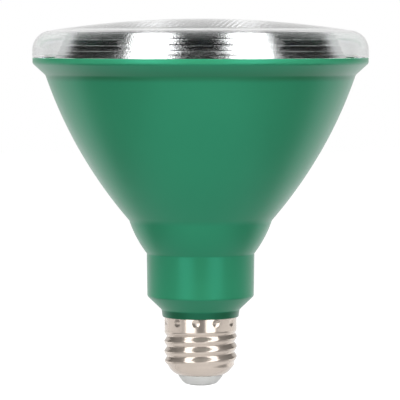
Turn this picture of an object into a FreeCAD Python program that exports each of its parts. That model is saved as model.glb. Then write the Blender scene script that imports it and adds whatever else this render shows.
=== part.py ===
import FreeCAD, Part
import math
import os
from FreeCAD import Vector

# A green flood lamp with a clear domed lens and a screw base, built as it comes apart on a bench.
# Sizes are in millimetres. The lamp's axis is Z, and heights run up from the flat face of the end contact.
AXIS = Vector(0, 0, 1)

# Clearances between pieces
SLIDE_CLEARANCE = 0.15
SNUG_CLEARANCE = 0.05

# Screw shell of rolled sheet, with a round-crested thread of seven turns to the inch
SHELL_EDGE_HEIGHT = 3.7
SHELL_EDGE_RADIUS = 8.3
SHELL_BOWL_HEIGHT = 5.9
SHELL_EDGE_ANGLE = 71.8
SHELL_THREAD_LENGTH = 10.6
SHELL_BAND_LENGTH = 4.3
SHELL_BAND_RADIUS = 13.0
SHELL_WALL = 0.35
THREAD_PITCH = 25.4 / 7
THREAD_ROOT_RADIUS = 12.25
THREAD_DEPTH = 0.85
THREAD_START_HEIGHT = 6.6
THREAD_RUN_OUT = 2.2
STAKE_COUNT = 11
STAKE_FIRST_ANGLE = -97.3
STAKE_DROP = 1.5
STAKE_PUNCH_RADIUS = 1.3
STAKE_DEPTH = 0.25

# Centre contact and the insulator that holds it in the shell's bottom
CONTACT_HEAD_RADIUS = 4.3
CONTACT_HEAD_THICKNESS = 0.6
CONTACT_EDGE_RADIUS = 0.25
CONTACT_PIN_RADIUS = 1.4
CONTACT_PIN_LENGTH = 8.6
CONTACT_SOCKET_DEPTH = 2.0
INSULATOR_NOSE_RADIUS = 5.5
INSULATOR_NOSE_DROP = 0.35
INSULATOR_FLARE_RADIUS = 8.2
INSULATOR_FLARE_BOW = 9.0
INSULATOR_FLANGE_ANGLE = 43.0
INSULATOR_TOP_HEIGHT = 7.2

# Housing outline, from the collar above the screw shell to the rim under the lens
HOUSING_WALL = 2.0
SPIGOT_LENGTH = 12.4
SPIGOT_BAND_LENGTH = 3.6
SPIGOT_WALL = 1.6
COLLAR_RADIUS = 14.1
COLLAR_HEIGHT = 2.65
SHOULDER_HEIGHT = 4.9
NECK_FOOT_RADIUS = 19.2
NECK_TOP_RADIUS = 19.4
NECK_HEIGHT = 15.35
BOWL_TOP_RADIUS = 25.7
BOWL_HEIGHT = 11.9
BOWL_BOW = 40.1
CONE_HEIGHT = 52.2
CONE_BOW = 158.0
RIM_CHAMFER_WIDTH = 4.6
RIM_CHAMFER_HEIGHT = 4.2
RIM_HEIGHT = 2.0
RIM_INSET = 0.1
RIM_EDGE_RADIUS = 0.8
CONE_RIM_RADIUS = 1.2
NECK_EDGE_RADIUS = 0.7
COLLAR_EDGE_RADIUS = 0.4
LEDGE_WIDTH = 3.0
LEDGE_DEPTH = 3.2

# Clear front lens, 38 eighths of an inch across, pressed into the rim on a soft ring
LENS_RADIUS = 60.325
LENS_DOME_RADIUS = 348.0
LENS_SHOULDER_RADIUS = 7.0
LENS_SKIRT_HEIGHT = 2.8
LENS_WALL = 1.2
LENS_FOOT_HEIGHT = 0.9
LENS_FOOT_SLOPE = 0.2
TONGUE_WALL = 1.5
TONGUE_DEPTH = 1.0
SEAL_THICKNESS = 0.8

# Mirror-coated reflector: a bowl, a lip, a stepped outer skirt and a foot
REFLECTOR_WALL = 1.3
REFLECTOR_THROAT_RADIUS = 20.0
REFLECTOR_LIP_INSET = 11.7
REFLECTOR_LIP_WIDTH = 2.0
REFLECTOR_LIP_GAP = 0.4
SKIRT_FOOT_INSET = 6.7
SKIRT_STEPS = 6
SKIRT_STEP_WIDTH = 0.6
SKIRT_STEP_RATIO = 0.85
REFLECTOR_FOOT_THICKNESS = 1.0

# Aluminium heat sink, its three screw pillars and the lamp board on it
SINK_SEAT_RISE = 19.0
SINK_PLATE_THICKNESS = 2.0
SINK_WALL = 1.5
SINK_WALL_HEIGHT = 20.0
PILLAR_RADIUS = 3.0
SCREW_HEAD_GAP = 0.6
PILLAR_LENGTH = 32.0
PILLAR_ANGLES = (30, 150, 270)
GUSSET_THICKNESS = 1.5
GUSSET_DROP = 4.0
SCREW_RADIUS = 1.25
SCREW_LENGTH = 11.0
SCREW_HEAD_RADIUS = 2.4
SCREW_HEAD_HEIGHT = 1.6
SCREW_SLOT_WIDTH = 0.6
SCREW_SLOT_DEPTH = 0.6
PAD_THICKNESS = 0.5
PAD_INSET = 0.5
LED_BOARD_RADIUS = 24.5
LED_BOARD_THICKNESS = 1.6
LED_SIZE = 3.0
LED_HEIGHT = 0.7
LED_CORNER_CUT = 0.5
LED_DOME_RADIUS = 1.25
LED_INNER_CIRCLE = 7.5
LED_OUTER_CIRCLE = 14.5
LED_SPACING_ANGLE = 30
GROMMET_BORE_RADIUS = 1.6
GROMMET_BODY_RADIUS = 2.7
GROMMET_FLANGE_RADIUS = 3.4
GROMMET_FLANGE_THICKNESS = 0.45
WIRE_HOLE_RADIUS = 3.8

# Driver board, upright in the neck between two pairs of rails
DRIVER_THICKNESS = 1.6
DRIVER_EDGE_GAP = 1.0
DRIVER_TOP_MARGIN = 2.5
PART_GAP = 2.0
DRIVER_NECK_LENGTH = 19.5
DRIVER_TOP_GAP = 7.0
DRIVER_FOOT_LIFT = 1.4
WIDE_STEP_RISE = 3.0
RAIL_REACH = 2.8
RAIL_THICKNESS = 1.4
RAIL_LENGTH = 14.0
LEAD_RADIUS = 0.3
LEAD_END = 1.0

# Parts on the driver board: each rises from the board's foot, and the pins of the flat ones are counted
# along one side
FILM_ACROSS = 6.0
FILM_RISE = 10.0
FILM_SIZE = (5.0, 9.5, 11.0)
FILM_LEAD_PITCH = 7.5
BULK_ACROSS = 6.0
BULK_RISE = 10.5
BULK_RADIUS = 4.0
BULK_LENGTH = 13.0
BULK_LEAD_PITCH = 2.5
OUTPUT_RISE = 28.0
OUTPUT_RADIUS = 3.15
OUTPUT_LENGTH = 11.0
OUTPUT_LEAD_PITCH = 2.0
CAN_LEAD_DROP = 1.6
CAN_GROOVE_DEPTH = 0.35
CAN_EDGE = 0.5
VARISTOR_RISE = 11.0
VARISTOR_RADIUS = 3.5
VARISTOR_THICKNESS = 3.0
VARISTOR_LEAD_PITCH = 5.0
RESISTOR_RISE = 9.0
RESISTOR_GAP = 0.9
RESISTOR_RADIUS = 1.1
RESISTOR_LENGTH = 6.5
RESISTOR_CAP_LENGTH = 1.65
RESISTOR_CAP_EDGE = 0.3
CHOKE_RISE = 28.0
CHOKE_RADIUS = 4.0
CHOKE_LENGTH = 8.0
CHOKE_FLANGE = 1.2
CHOKE_HUB_RADIUS = 2.0
CHOKE_LEAD_PITCH = 5.0
TRANSFORMER_RISE = 27.0
TRANSFORMER_SIZE = (13.0, 6.0, 13.0)
TRANSFORMER_LEG = 3.5
TRANSFORMER_YOKE = 2.0
TRANSFORMER_SIDE = 1.8
TRANSFORMER_COIL_BUILD = 2.2
BOBBIN_WALL = 0.5
BOBBIN_FOOT = 1.5
BOBBIN_PIN_PITCH = 3.0
PART_STAND = 0.3
BRIDGE_ACROSS = 8.0
BRIDGE_RISE = 9.0
BRIDGE_SIZE = (3.9, 2.4, 4.8)
BRIDGE_PIN_COUNT = 2
CHIP_ACROSS = 8.0
CHIP_RISE = 20.0
CHIP_SIZE = (3.9, 1.5, 4.9)
CHIP_PIN_COUNT = 4
DIODE_RISE = 29.0
DIODE_SIZE = (4.3, 2.2, 2.6)
DIODE_PIN_COUNT = 1
CHIP_PIN_WIDTH = 0.45
PIN_THICKNESS = 0.2
PIN_REACH = 1.0

# Insulated wires: where they leave the driver board, and their bends
MAINS_WIRE_RADIUS = 0.75
MAINS_WIRE_SPACING = 3.0
MAINS_WIRE_START = 10.0
MAINS_WIRE_BEND = 16.0
NEUTRAL_TURN_BEND = 1.5
LED_WIRE_RADIUS = 0.65
LED_WIRE_SPACING = 1.5
LED_WIRE_START = 9.0
LED_WIRE_END = 6.3
LED_WIRE_BEND = 4.0
LED_WIRE_TURN_BEND = 2.3


def at(radius, height):
    """Point of a turned outline, in the plane that holds the lamp's axis."""
    return Vector(radius, 0, height)


def around(radius, angle, height=0):
    """Point at this radius, angle in degrees and height about the lamp's axis."""
    turn = math.radians(angle)
    return Vector(radius * math.cos(turn), radius * math.sin(turn), height)


def outline(start, *steps):
    """Closed edges from point to point. A step of two points is an arc through the first of them."""
    edges = []
    here = start
    for step in steps:
        if isinstance(step, tuple):
            through, there = step
            edges.append(Part.Arc(here, through, there).toShape())
        elif isinstance(step, Vector):
            there = step
            edges.append(Part.makeLine(here, there))
        else:
            edges.append(step.toShape())
            there = step.getPoles()[-1]
        here = there
    edges.append(Part.makeLine(here, start))
    return edges


def bowed(start, end, radius):
    """Step of an outline: an arc of this radius that bows to the right of its way."""
    chord = end - start
    half = chord.Length / 2
    rise = radius - math.sqrt(radius ** 2 - half ** 2)
    across = Vector(chord.z, 0, -chord.x).normalize()
    return (start + end) / 2 + across * rise, end


def turned(edges):
    """Solid turned about the lamp's axis from a closed outline."""
    return Part.Face(Part.Wire(edges)).revolve(Vector(0, 0, 0), AXIS, 360)


def block(x_low, x_high, y_low, y_high, z_low, z_high):
    """Rectangular block between these limits."""
    return Part.makeBox(x_high - x_low, y_high - y_low, z_high - z_low, Vector(x_low, y_low, z_low))


def disc(radius, low, high, centre=Vector(0, 0, 0)):
    """Upright cylinder between two heights."""
    return Part.makeCylinder(radius, high - low, Vector(centre.x, centre.y, low), AXIS)


def routed(points, bends, radius):
    """Round wire along straight runs, with a tangent arc of its own bend radius at each corner."""
    edges = []
    here = points[0]
    for before, corner, after, bend in zip(points, points[1:], points[2:], bends):
        back = (before - corner).normalize()
        ahead = (after - corner).normalize()
        half = back.getAngle(ahead) / 2
        reach = bend / math.tan(half)
        middle = corner + (back + ahead).normalize() * (bend / math.sin(half) - bend)
        edges.append(Part.makeLine(here, corner + back * reach))
        edges.append(Part.Arc(corner + back * reach, middle, corner + ahead * reach).toShape())
        here = corner + ahead * reach
    edges.append(Part.makeLine(here, points[-1]))
    section = Part.Wire(Part.makeCircle(radius, points[0], points[1] - points[0]))
    return Part.Wire(edges).makePipeShell([section], True, True)


def smooth(value, low, high):
    """Zero below low, one above high, and a smooth rise between them."""
    share = min(max((value - low) / (high - low), 0), 1)
    return share * share * (3 - 2 * share)


# Heights, radii and places that follow from the sizes above
shell_bowl_top = SHELL_EDGE_HEIGHT + SHELL_BOWL_HEIGHT
shell_thread_top = shell_bowl_top + SHELL_THREAD_LENGTH
shell_top = shell_thread_top + SHELL_BAND_LENGTH
collar_foot = shell_top + SNUG_CLEARANCE
shoulder_foot = collar_foot + COLLAR_HEIGHT
neck_foot = shoulder_foot + SHOULDER_HEIGHT
neck_top = neck_foot + NECK_HEIGHT
bowl_top = neck_top + BOWL_HEIGHT
cone_top = bowl_top + CONE_HEIGHT
rim_foot = cone_top + RIM_CHAMFER_HEIGHT
rim_top = rim_foot + RIM_HEIGHT
rim_radius = LENS_RADIUS - RIM_INSET
rim_bore = rim_radius - HOUSING_WALL
cone_top_radius = rim_radius - RIM_CHAMFER_WIDTH
tongue_radius = rim_bore - SLIDE_CLEARANCE
tongue_foot = rim_top - TONGUE_DEPTH
seal_foot = tongue_foot - SEAL_THICKNESS
ledge_height = seal_foot - REFLECTOR_FOOT_THICKNESS
lip_radius = LENS_RADIUS - REFLECTOR_LIP_INSET
skirt_foot_radius = LENS_RADIUS - SKIRT_FOOT_INSET
sink_seat = bowl_top + SINK_SEAT_RISE
sink_top = sink_seat + SINK_PLATE_THICKNESS
board_foot = sink_top + PAD_THICKNESS
board_top = board_foot + LED_BOARD_THICKNESS
pillar_circle = REFLECTOR_THROAT_RADIUS - SCREW_HEAD_RADIUS - SCREW_HEAD_GAP
driver_foot = neck_foot + DRIVER_FOOT_LIFT
driver_step = driver_foot + DRIVER_NECK_LENGTH
driver_top = sink_seat - DRIVER_TOP_GAP
driver_face = DRIVER_THICKNESS / 2
driver_neck_half = NECK_FOOT_RADIUS - HOUSING_WALL - DRIVER_EDGE_GAP
choke_across = TRANSFORMER_SIZE[0] / 2 + PART_GAP + CHOKE_RADIUS
driver_top_half = choke_across + CHOKE_RADIUS + DRIVER_TOP_MARGIN

film_place = (FILM_ACROSS, FILM_RISE)
bulk_place = (-BULK_ACROSS, BULK_RISE)
output_place = (choke_across, OUTPUT_RISE)
varistor_place = (FILM_ACROSS + FILM_SIZE[0] / 2 + PART_GAP + VARISTOR_THICKNESS / 2, VARISTOR_RISE)
resistor_place = (-BULK_ACROSS - BULK_RADIUS - RESISTOR_GAP - RESISTOR_RADIUS, RESISTOR_RISE)
choke_place = (-choke_across, CHOKE_RISE)
transformer_place = (0, TRANSFORMER_RISE)
bridge_place = (-BRIDGE_ACROSS, BRIDGE_RISE)
chip_place = (CHIP_ACROSS, CHIP_RISE)
diode_place = (choke_across, DIODE_RISE)


def shell_bowl_point(tilt, inset):
    """Radius and height of the shell's bottom bowl, a quarter of an ellipse, at a tilt in radians."""
    edge_tilt = math.radians(SHELL_EDGE_ANGLE)
    across = (THREAD_ROOT_RADIUS - SHELL_EDGE_RADIUS) / (1 - math.cos(edge_tilt))
    down = SHELL_BOWL_HEIGHT / math.sin(edge_tilt)
    radius = THREAD_ROOT_RADIUS - across + (across - inset) * math.cos(tilt)
    return radius, shell_bowl_top - (down - inset) * math.sin(tilt)


def shell_surface(inset):
    """Face of the screw shell: bowl, thread and plain band, set inwards by this much.

    The thread adds half its depth times one plus the cosine of the turn that the height makes at the
    thread's pitch, less the angle about the axis. It fades in over the bowl and out into the band."""
    edge_tilt = math.radians(SHELL_EDGE_ANGLE)
    bowl_rows = 8
    thread_rows = 30
    band_rows = 12
    columns = 48
    stations = [shell_bowl_point(edge_tilt * (1 - row / bowl_rows), inset) for row in range(bowl_rows)]
    for row in range(thread_rows):
        stations.append((THREAD_ROOT_RADIUS - inset, shell_bowl_top + SHELL_THREAD_LENGTH * row / thread_rows))
    for row in range(band_rows + 1):
        stations.append((THREAD_ROOT_RADIUS - inset, shell_thread_top + SHELL_BAND_LENGTH * row / band_rows))
    grid = []
    thread_foot = shell_bowl_top - THREAD_PITCH
    for base, height in stations:
        into_thread = smooth(height, thread_foot, thread_foot + THREAD_RUN_OUT)
        into_band = smooth(height, shell_thread_top - THREAD_RUN_OUT, shell_thread_top)
        row = []
        for column in range(columns + 1):
            angle = 360 * column / columns
            turn = 360 * (height - THREAD_START_HEIGHT) / THREAD_PITCH - angle
            ridge = THREAD_DEPTH * (1 + math.cos(math.radians(turn))) / 2
            threaded = base + ridge * into_thread
            radius = threaded + (SHELL_BAND_RADIUS - inset - threaded) * into_band
            row.append(around(radius, angle, height))
        grid.append(row)
    surface = Part.BSplineSurface()
    surface.interpolate(grid)
    return surface


def stake_marks():
    """Balls that leave the punch's shallow round marks in the shell's plain band."""
    reach = SHELL_BAND_RADIUS + STAKE_PUNCH_RADIUS - STAKE_DEPTH
    step = 360 / STAKE_COUNT
    centres = [around(reach, STAKE_FIRST_ANGLE + step * count, shell_top - STAKE_DROP)
               for count in range(STAKE_COUNT)]
    return Part.makeCompound([Part.makeSphere(STAKE_PUNCH_RADIUS, centre) for centre in centres])


def screw_shell():
    """Rolled sheet shell: the same thread outside and inside, and a row of punched marks."""
    outer = shell_surface(0).toShape()
    inner = shell_surface(SHELL_WALL).toShape()
    faces = [outer, inner]
    for pick in (min, max):
        rings = []
        for face in (outer, inner):
            level = pick(vertex.Z for vertex in face.Vertexes)
            rings.append([edge for edge in face.Edges
                          if all(abs(vertex.Z - level) < 1e-6 for vertex in edge.Vertexes)][0])
        faces.append(Part.makeRuledSurface(rings[0], rings[1]))
    closed = Part.makeShell(faces)
    closed.sewShape()
    solid = Part.makeSolid(closed)
    if solid.Volume < 0:
        solid.reverse()
    return solid.cut(stake_marks())


def centre_contact():
    """Flat-headed contact, with a socket in its pin for the live wire."""
    pin_top = CONTACT_PIN_LENGTH
    socket_radius = MAINS_WIRE_RADIUS + SNUG_CLEARANCE
    head = turned(outline(at(0, 0), at(CONTACT_HEAD_RADIUS, 0), at(CONTACT_HEAD_RADIUS, CONTACT_HEAD_THICKNESS),
                          at(CONTACT_PIN_RADIUS, CONTACT_HEAD_THICKNESS), at(CONTACT_PIN_RADIUS, pin_top),
                          at(0, pin_top)))
    rim = [edge for edge in head.Edges if edge.BoundBox.ZMax < 1e-6 and edge.BoundBox.XMax > CONTACT_PIN_RADIUS]
    head = head.makeFillet(CONTACT_EDGE_RADIUS, rim)
    return head.cut(disc(socket_radius, pin_top - CONTACT_SOCKET_DEPTH, pin_top + 1))


def base_insulator():
    """Pale moulded plug: a nose round the contact's head, a waist in the shell's edge and a flange inside."""
    bore = CONTACT_PIN_RADIUS + SNUG_CLEARANCE
    seat = CONTACT_HEAD_RADIUS + SNUG_CLEARANCE
    edge_tilt = math.radians(SHELL_EDGE_ANGLE)
    flange_tilt = math.radians(INSULATOR_FLANGE_ANGLE)
    inside = SHELL_WALL + SNUG_CLEARANCE
    waist, waist_top = shell_bowl_point(edge_tilt, inside)
    flare_height = SHELL_EDGE_HEIGHT - SNUG_CLEARANCE
    seam = [at(*shell_bowl_point(tilt, inside)) for tilt in ((edge_tilt + flange_tilt) / 2, flange_tilt)]
    nose = at(INSULATOR_NOSE_RADIUS, INSULATOR_NOSE_DROP)
    return turned(outline(at(bore, CONTACT_HEAD_THICKNESS), at(seat, CONTACT_HEAD_THICKNESS),
                          at(seat, INSULATOR_NOSE_DROP), nose,
                          bowed(nose, at(INSULATOR_FLARE_RADIUS, flare_height), INSULATOR_FLARE_BOW),
                          at(waist - SNUG_CLEARANCE, flare_height), at(waist - SNUG_CLEARANCE, waist_top),
                          tuple(seam), at(seam[1].x, INSULATOR_TOP_HEIGHT), at(bore, INSULATOR_TOP_HEIGHT)))


def housing_run():
    """Open outer run of the housing's wall, from the collar's foot up to the rim's top."""
    neck = at(NECK_TOP_RADIUS, neck_top)
    bowl = at(BOWL_TOP_RADIUS, bowl_top)
    closed = outline(at(COLLAR_RADIUS, collar_foot), at(COLLAR_RADIUS, shoulder_foot),
                     at(NECK_FOOT_RADIUS, neck_foot), neck, bowed(neck, bowl, BOWL_BOW),
                     bowed(bowl, at(cone_top_radius, cone_top), CONE_BOW), at(rim_radius, rim_foot),
                     at(rim_radius, rim_top))
    return Part.Wire(closed[:-1])


def housing_wall():
    """Turned wall between the outer run and the same run set inwards by the wall."""
    outer = housing_run()
    inner = outer.makeOffset2D(HOUSING_WALL, 2, False, True)
    ends = []
    for pick in (min, max):
        level = pick(vertex.Z for vertex in outer.Vertexes)
        pair = [vertex.Point for wire in (outer, inner) for vertex in wire.Vertexes
                if abs(vertex.Z - level) < 1e-6]
        ends.append(Part.makeLine(*pair))
    return turned(Part.__sortEdges__(outer.Edges + inner.Edges + ends))


def filled(run):
    """Solid that fills a run in to the lamp's axis."""
    levels = [vertex.Z for vertex in run.Vertexes]
    low = at(0, min(levels))
    high = at(0, max(levels))
    foot = [vertex.Point for vertex in run.Vertexes if abs(vertex.Z - low.z) < 1e-6][0]
    top = [vertex.Point for vertex in run.Vertexes if abs(vertex.Z - high.z) < 1e-6][0]
    closing = [Part.makeLine(foot, low), Part.makeLine(low, high), Part.makeLine(high, top)]
    return turned(Part.__sortEdges__(run.Edges + closing))


def spigot():
    """Tube below the collar that the screw shell is pushed over: snug in the band, clear of the thread."""
    band = SHELL_BAND_RADIUS - SHELL_WALL - SNUG_CLEARANCE
    threaded = THREAD_ROOT_RADIUS - SHELL_WALL - SNUG_CLEARANCE
    foot = collar_foot - SPIGOT_LENGTH
    step = collar_foot - SPIGOT_BAND_LENGTH
    bore = threaded - SPIGOT_WALL
    return turned(outline(at(bore, foot), at(threaded, foot), at(threaded, step), at(band, step),
                          at(band, collar_foot + HOUSING_WALL), at(bore, collar_foot + HOUSING_WALL)))


def softened(body, radius, level, ring):
    """Body with a fillet on its round edge at this height and radius."""
    picked = [edge for edge in body.Edges
              if abs(edge.BoundBox.ZMin - level) < 1e-3 and abs(edge.BoundBox.ZMax - level) < 1e-3
              and abs(edge.BoundBox.XMax - ring) < 1e-2]
    return body.makeFillet(radius, picked)


def screw_pillars():
    """Three pillars under the heat sink, each with a gusset out to the housing's wall."""
    foot = sink_seat - PILLAR_LENGTH
    pieces = []
    for angle in PILLAR_ANGLES:
        pieces.append(disc(PILLAR_RADIUS, foot, sink_seat, around(pillar_circle, angle)))
        gusset = block(pillar_circle, cone_top_radius, -GUSSET_THICKNESS / 2, GUSSET_THICKNESS / 2,
                       foot, sink_seat - GUSSET_DROP)
        gusset.rotate(Vector(0, 0, 0), AXIS, angle)
        pieces.append(gusset)
    return pieces


def board_rails():
    """Two pairs of rails in the neck that the driver board slides into."""
    near = driver_face + SLIDE_CLEARANCE
    inner = NECK_FOOT_RADIUS - HOUSING_WALL - RAIL_REACH
    pieces = []
    for side in (-1, 1):
        for face in (-1, 1):
            low, high = sorted((side * inner, side * NECK_FOOT_RADIUS))
            back, front = sorted((face * near, face * (near + RAIL_THICKNESS)))
            pieces.append(block(low, high, back, front, neck_foot, neck_foot + RAIL_LENGTH))
    return pieces


def housing():
    """Green moulded housing: a thin wall all the way, with spigot, rails, pillars and lens ledge."""
    body = filled(housing_run())
    wall = housing_wall()
    wall = softened(wall, RIM_EDGE_RADIUS, rim_foot, rim_radius)
    wall = softened(wall, CONE_RIM_RADIUS, cone_top, cone_top_radius)
    wall = softened(wall, NECK_EDGE_RADIUS, neck_foot, NECK_FOOT_RADIUS)
    wall = softened(wall, COLLAR_EDGE_RADIUS, collar_foot, COLLAR_RADIUS)
    ledge = disc(rim_radius, ledge_height - LEDGE_DEPTH, ledge_height).cut(
        disc(rim_bore - LEDGE_WIDTH, ledge_height - LEDGE_DEPTH, ledge_height))
    within = body.makeOffsetShape(-HOUSING_WALL / 2, 1e-3, join=2)
    inner_forms = [form.common(within) for form in screw_pillars() + board_rails() + [ledge]]
    wall = wall.fuse(inner_forms + [spigot()])
    wall = wall.cut(disc(rim_bore, ledge_height, rim_top))
    for angle in PILLAR_ANGLES:
        wall = wall.cut(disc(SCREW_RADIUS + SNUG_CLEARANCE, sink_seat - SCREW_LENGTH,
                             sink_seat, around(pillar_circle, angle)))
    return wall.removeSplitter()


def lens_run(inset):
    """Points and arcs of the lens from the foot of its skirt up over the shoulder to the dome's top."""
    skirt_top = rim_top + LENS_SKIRT_HEIGHT
    dome = LENS_DOME_RADIUS - inset
    shoulder = LENS_SHOULDER_RADIUS - inset
    centre = at(LENS_RADIUS - LENS_SHOULDER_RADIUS, skirt_top)
    reach = LENS_DOME_RADIUS - LENS_SHOULDER_RADIUS
    dome_centre = centre - at(centre.x, math.sqrt(reach ** 2 - centre.x ** 2))
    lean = math.asin(centre.x / reach)
    tangent = centre + at(math.sin(lean), math.cos(lean)) * shoulder
    mid_tilt = (lean + math.pi / 2) / 2
    mid_shoulder = centre + at(math.sin(mid_tilt), math.cos(mid_tilt)) * shoulder
    mid_dome = dome_centre + at(math.sin(lean / 2), math.cos(lean / 2)) * dome
    return [at(LENS_RADIUS - inset, skirt_top), (mid_shoulder, tangent), (mid_dome, dome_centre + at(0, dome))]


def front_lens():
    """Clear cap: domed face, round shoulder, skirt on the rim and a tongue pressed into its bore."""
    outer = lens_run(0)
    inner = lens_run(LENS_WALL)
    tongue_bore = tongue_radius - TONGUE_WALL
    foot_top = rim_top + LENS_FOOT_HEIGHT
    back = [inner[2][1], (inner[2][0], inner[1][1]), (inner[1][0], inner[0])]
    return turned(outline(at(tongue_bore, tongue_foot), at(tongue_radius, tongue_foot),
                          at(tongue_radius, rim_top), at(LENS_RADIUS, rim_top), *outer, *back,
                          at(inner[0].x, foot_top + LENS_FOOT_SLOPE), at(tongue_bore, foot_top)))


def lens_seal():
    """Soft ring that the lens tongue presses on the reflector's foot."""
    bore = tongue_radius - TONGUE_WALL
    ring = disc(tongue_radius, seal_foot, tongue_foot)
    return ring.cut(disc(bore, seal_foot, tongue_foot))


def lip_height():
    """Top of the reflector's lip, just under the lens."""
    apex = lens_run(LENS_WALL)[2][1].z
    drop = lip_radius ** 2 / (2 * LENS_DOME_RADIUS)
    return apex - drop - REFLECTOR_LIP_GAP


def bowl_curve(inset, low, high):
    """Parabola of the reflector's bowl between two heights, set outwards by this much."""
    throat = REFLECTOR_THROAT_RADIUS
    mouth = lip_radius - REFLECTOR_LIP_WIDTH
    rate = (mouth ** 2 - throat ** 2) / (lip_height() - board_top)
    count = 8
    levels = [low + (high - low) * step / count for step in range(count + 1)]
    curve = Part.BSplineCurve()
    curve.interpolate([at(math.sqrt(throat ** 2 + rate * (level - board_top)) + inset, level)
                       for level in levels])
    return curve


def reflector():
    """One thin moulding: parabolic bowl, flat lip, outer skirt in low steps and a foot on the ledge.

    Each step of the skirt is lower than the one above it by a fixed ratio, and all lean out alike."""
    lip = lip_height()
    foot_top = seal_foot
    under_lip = lip - REFLECTOR_WALL
    height = lip - foot_top
    rise = height * (1 - SKIRT_STEP_RATIO) / (1 - SKIRT_STEP_RATIO ** SKIRT_STEPS)
    lean = (skirt_foot_radius - lip_radius - SKIRT_STEP_WIDTH * SKIRT_STEPS) / height
    inner = bowl_curve(0, board_top, lip)
    outer = bowl_curve(REFLECTOR_WALL, under_lip, board_top)
    corner = at(lip_radius, lip)
    stairs = []
    for step in range(SKIRT_STEPS):
        foot = corner + at(rise * lean, -rise)
        stairs += [corner, foot]
        corner = foot + at(SKIRT_STEP_WIDTH, 0)
        rise = rise * SKIRT_STEP_RATIO
    foot_radius = tongue_radius
    skirt_bore = skirt_foot_radius - SKIRT_STEP_WIDTH - REFLECTOR_WALL
    return turned(outline(inner.getPoles()[0], inner, *stairs, at(foot_radius, foot_top),
                          at(foot_radius, ledge_height), at(skirt_bore, ledge_height),
                          at(lip_radius - REFLECTOR_WALL, under_lip), outer.getPoles()[0], outer))


def sink_bore(inset, height):
    """Radius of the housing's inner wall in the cone at a height, less this much."""
    start = at(BOWL_TOP_RADIUS, bowl_top)
    end = at(cone_top_radius, cone_top)
    half = (end - start).Length / 2
    across = Vector(end.z - start.z, 0, start.x - end.x).normalize()
    centre = (start + end) / 2 - across * math.sqrt(CONE_BOW ** 2 - half ** 2)
    bow = CONE_BOW - HOUSING_WALL - inset
    return centre.x + math.sqrt(bow ** 2 - (height - centre.z) ** 2)


def heat_sink():
    """Pressed aluminium cup: a plate on the pillars and a wall that lies along the cone's inside."""
    low = sink_seat
    high = low + SINK_WALL_HEIGHT
    middle = (low + high) / 2
    plate = SINK_PLATE_THICKNESS
    outer = SLIDE_CLEARANCE
    inner = SLIDE_CLEARANCE + SINK_WALL
    up = (at(sink_bore(outer, middle), middle), at(sink_bore(outer, high), high))
    down = (at(sink_bore(inner, middle), middle), at(sink_bore(inner, low + plate), low + plate))
    cup = turned(outline(at(0, low), at(sink_bore(outer, low), low), up, at(sink_bore(inner, high), high),
                         down, at(0, low + plate)))
    return drilled(cup, low, low + plate).cut(disc(GROMMET_BODY_RADIUS + SNUG_CLEARANCE, low, low + plate))


def drilled(piece, low, high):
    """Piece with a clear hole for each board screw."""
    for angle in PILLAR_ANGLES:
        hole = disc(SCREW_RADIUS + SLIDE_CLEARANCE, low, high, around(pillar_circle, angle))
        piece = piece.cut(hole)
    return piece


def thermal_pad():
    """Soft grey pad between the heat sink and the lamp board."""
    pad = disc(LED_BOARD_RADIUS - PAD_INSET, sink_top, board_foot)
    return drilled(pad, sink_top, board_foot).cut(disc(WIRE_HOLE_RADIUS, sink_top, board_foot))


def led_board():
    """Round metal-cored board with holes for its screws and for the two wires."""
    board = disc(LED_BOARD_RADIUS, board_foot, board_top)
    return drilled(board, board_foot, board_top).cut(disc(WIRE_HOLE_RADIUS, board_foot, board_top))


def led_places():
    """Twelve places: an inner ring in line with the screws and an outer ring between them."""
    inner = [around(LED_INNER_CIRCLE, angle, board_top) for angle in PILLAR_ANGLES]
    outer = [around(LED_OUTER_CIRCLE, angle, board_top) for angle in range(0, 360, LED_SPACING_ANGLE)
             if angle not in PILLAR_ANGLES]
    return inner + outer


def light_diode(place):
    """Square surface-mounted lamp with one cut corner and a small clear dome."""
    half = LED_SIZE / 2
    cut = half - LED_CORNER_CUT
    corners = [(-half, -half), (half, -half), (half, cut), (cut, half), (-half, half), (-half, -half)]
    base = Part.Face(Part.makePolygon([place + Vector(x, y, 0) for x, y in corners]))
    body = base.extrude(AXIS * LED_HEIGHT)
    dome = Part.makeSphere(LED_DOME_RADIUS, place + AXIS * LED_HEIGHT, AXIS, 0, 90, 360)
    return body.fuse(dome).removeSplitter()


def board_screws():
    """Three pan-headed screws through board, pad and plate into the pillars."""
    screws = []
    for angle in PILLAR_ANGLES:
        place = around(pillar_circle, angle)
        shank = disc(SCREW_RADIUS, board_top - SCREW_LENGTH, board_top, place)
        head = disc(SCREW_HEAD_RADIUS, board_top, board_top + SCREW_HEAD_HEIGHT, place)
        top_edge = [edge for edge in head.Edges if edge.BoundBox.ZMin > board_top + SCREW_HEAD_HEIGHT / 2]
        head = head.makeFillet(SCREW_HEAD_HEIGHT / 2, top_edge)
        slot_floor = board_top + SCREW_HEAD_HEIGHT - SCREW_SLOT_DEPTH
        half = SCREW_SLOT_WIDTH / 2
        for wide, deep in ((SCREW_HEAD_RADIUS / 2, half), (half, SCREW_HEAD_RADIUS / 2)):
            slot = block(-wide, wide, -deep, deep, slot_floor, board_top + SCREW_HEAD_HEIGHT)
            slot.translate(place)
            head = head.cut(slot)
        screws.append(shank.fuse(head).removeSplitter())
    return Part.makeCompound(screws)


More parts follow.
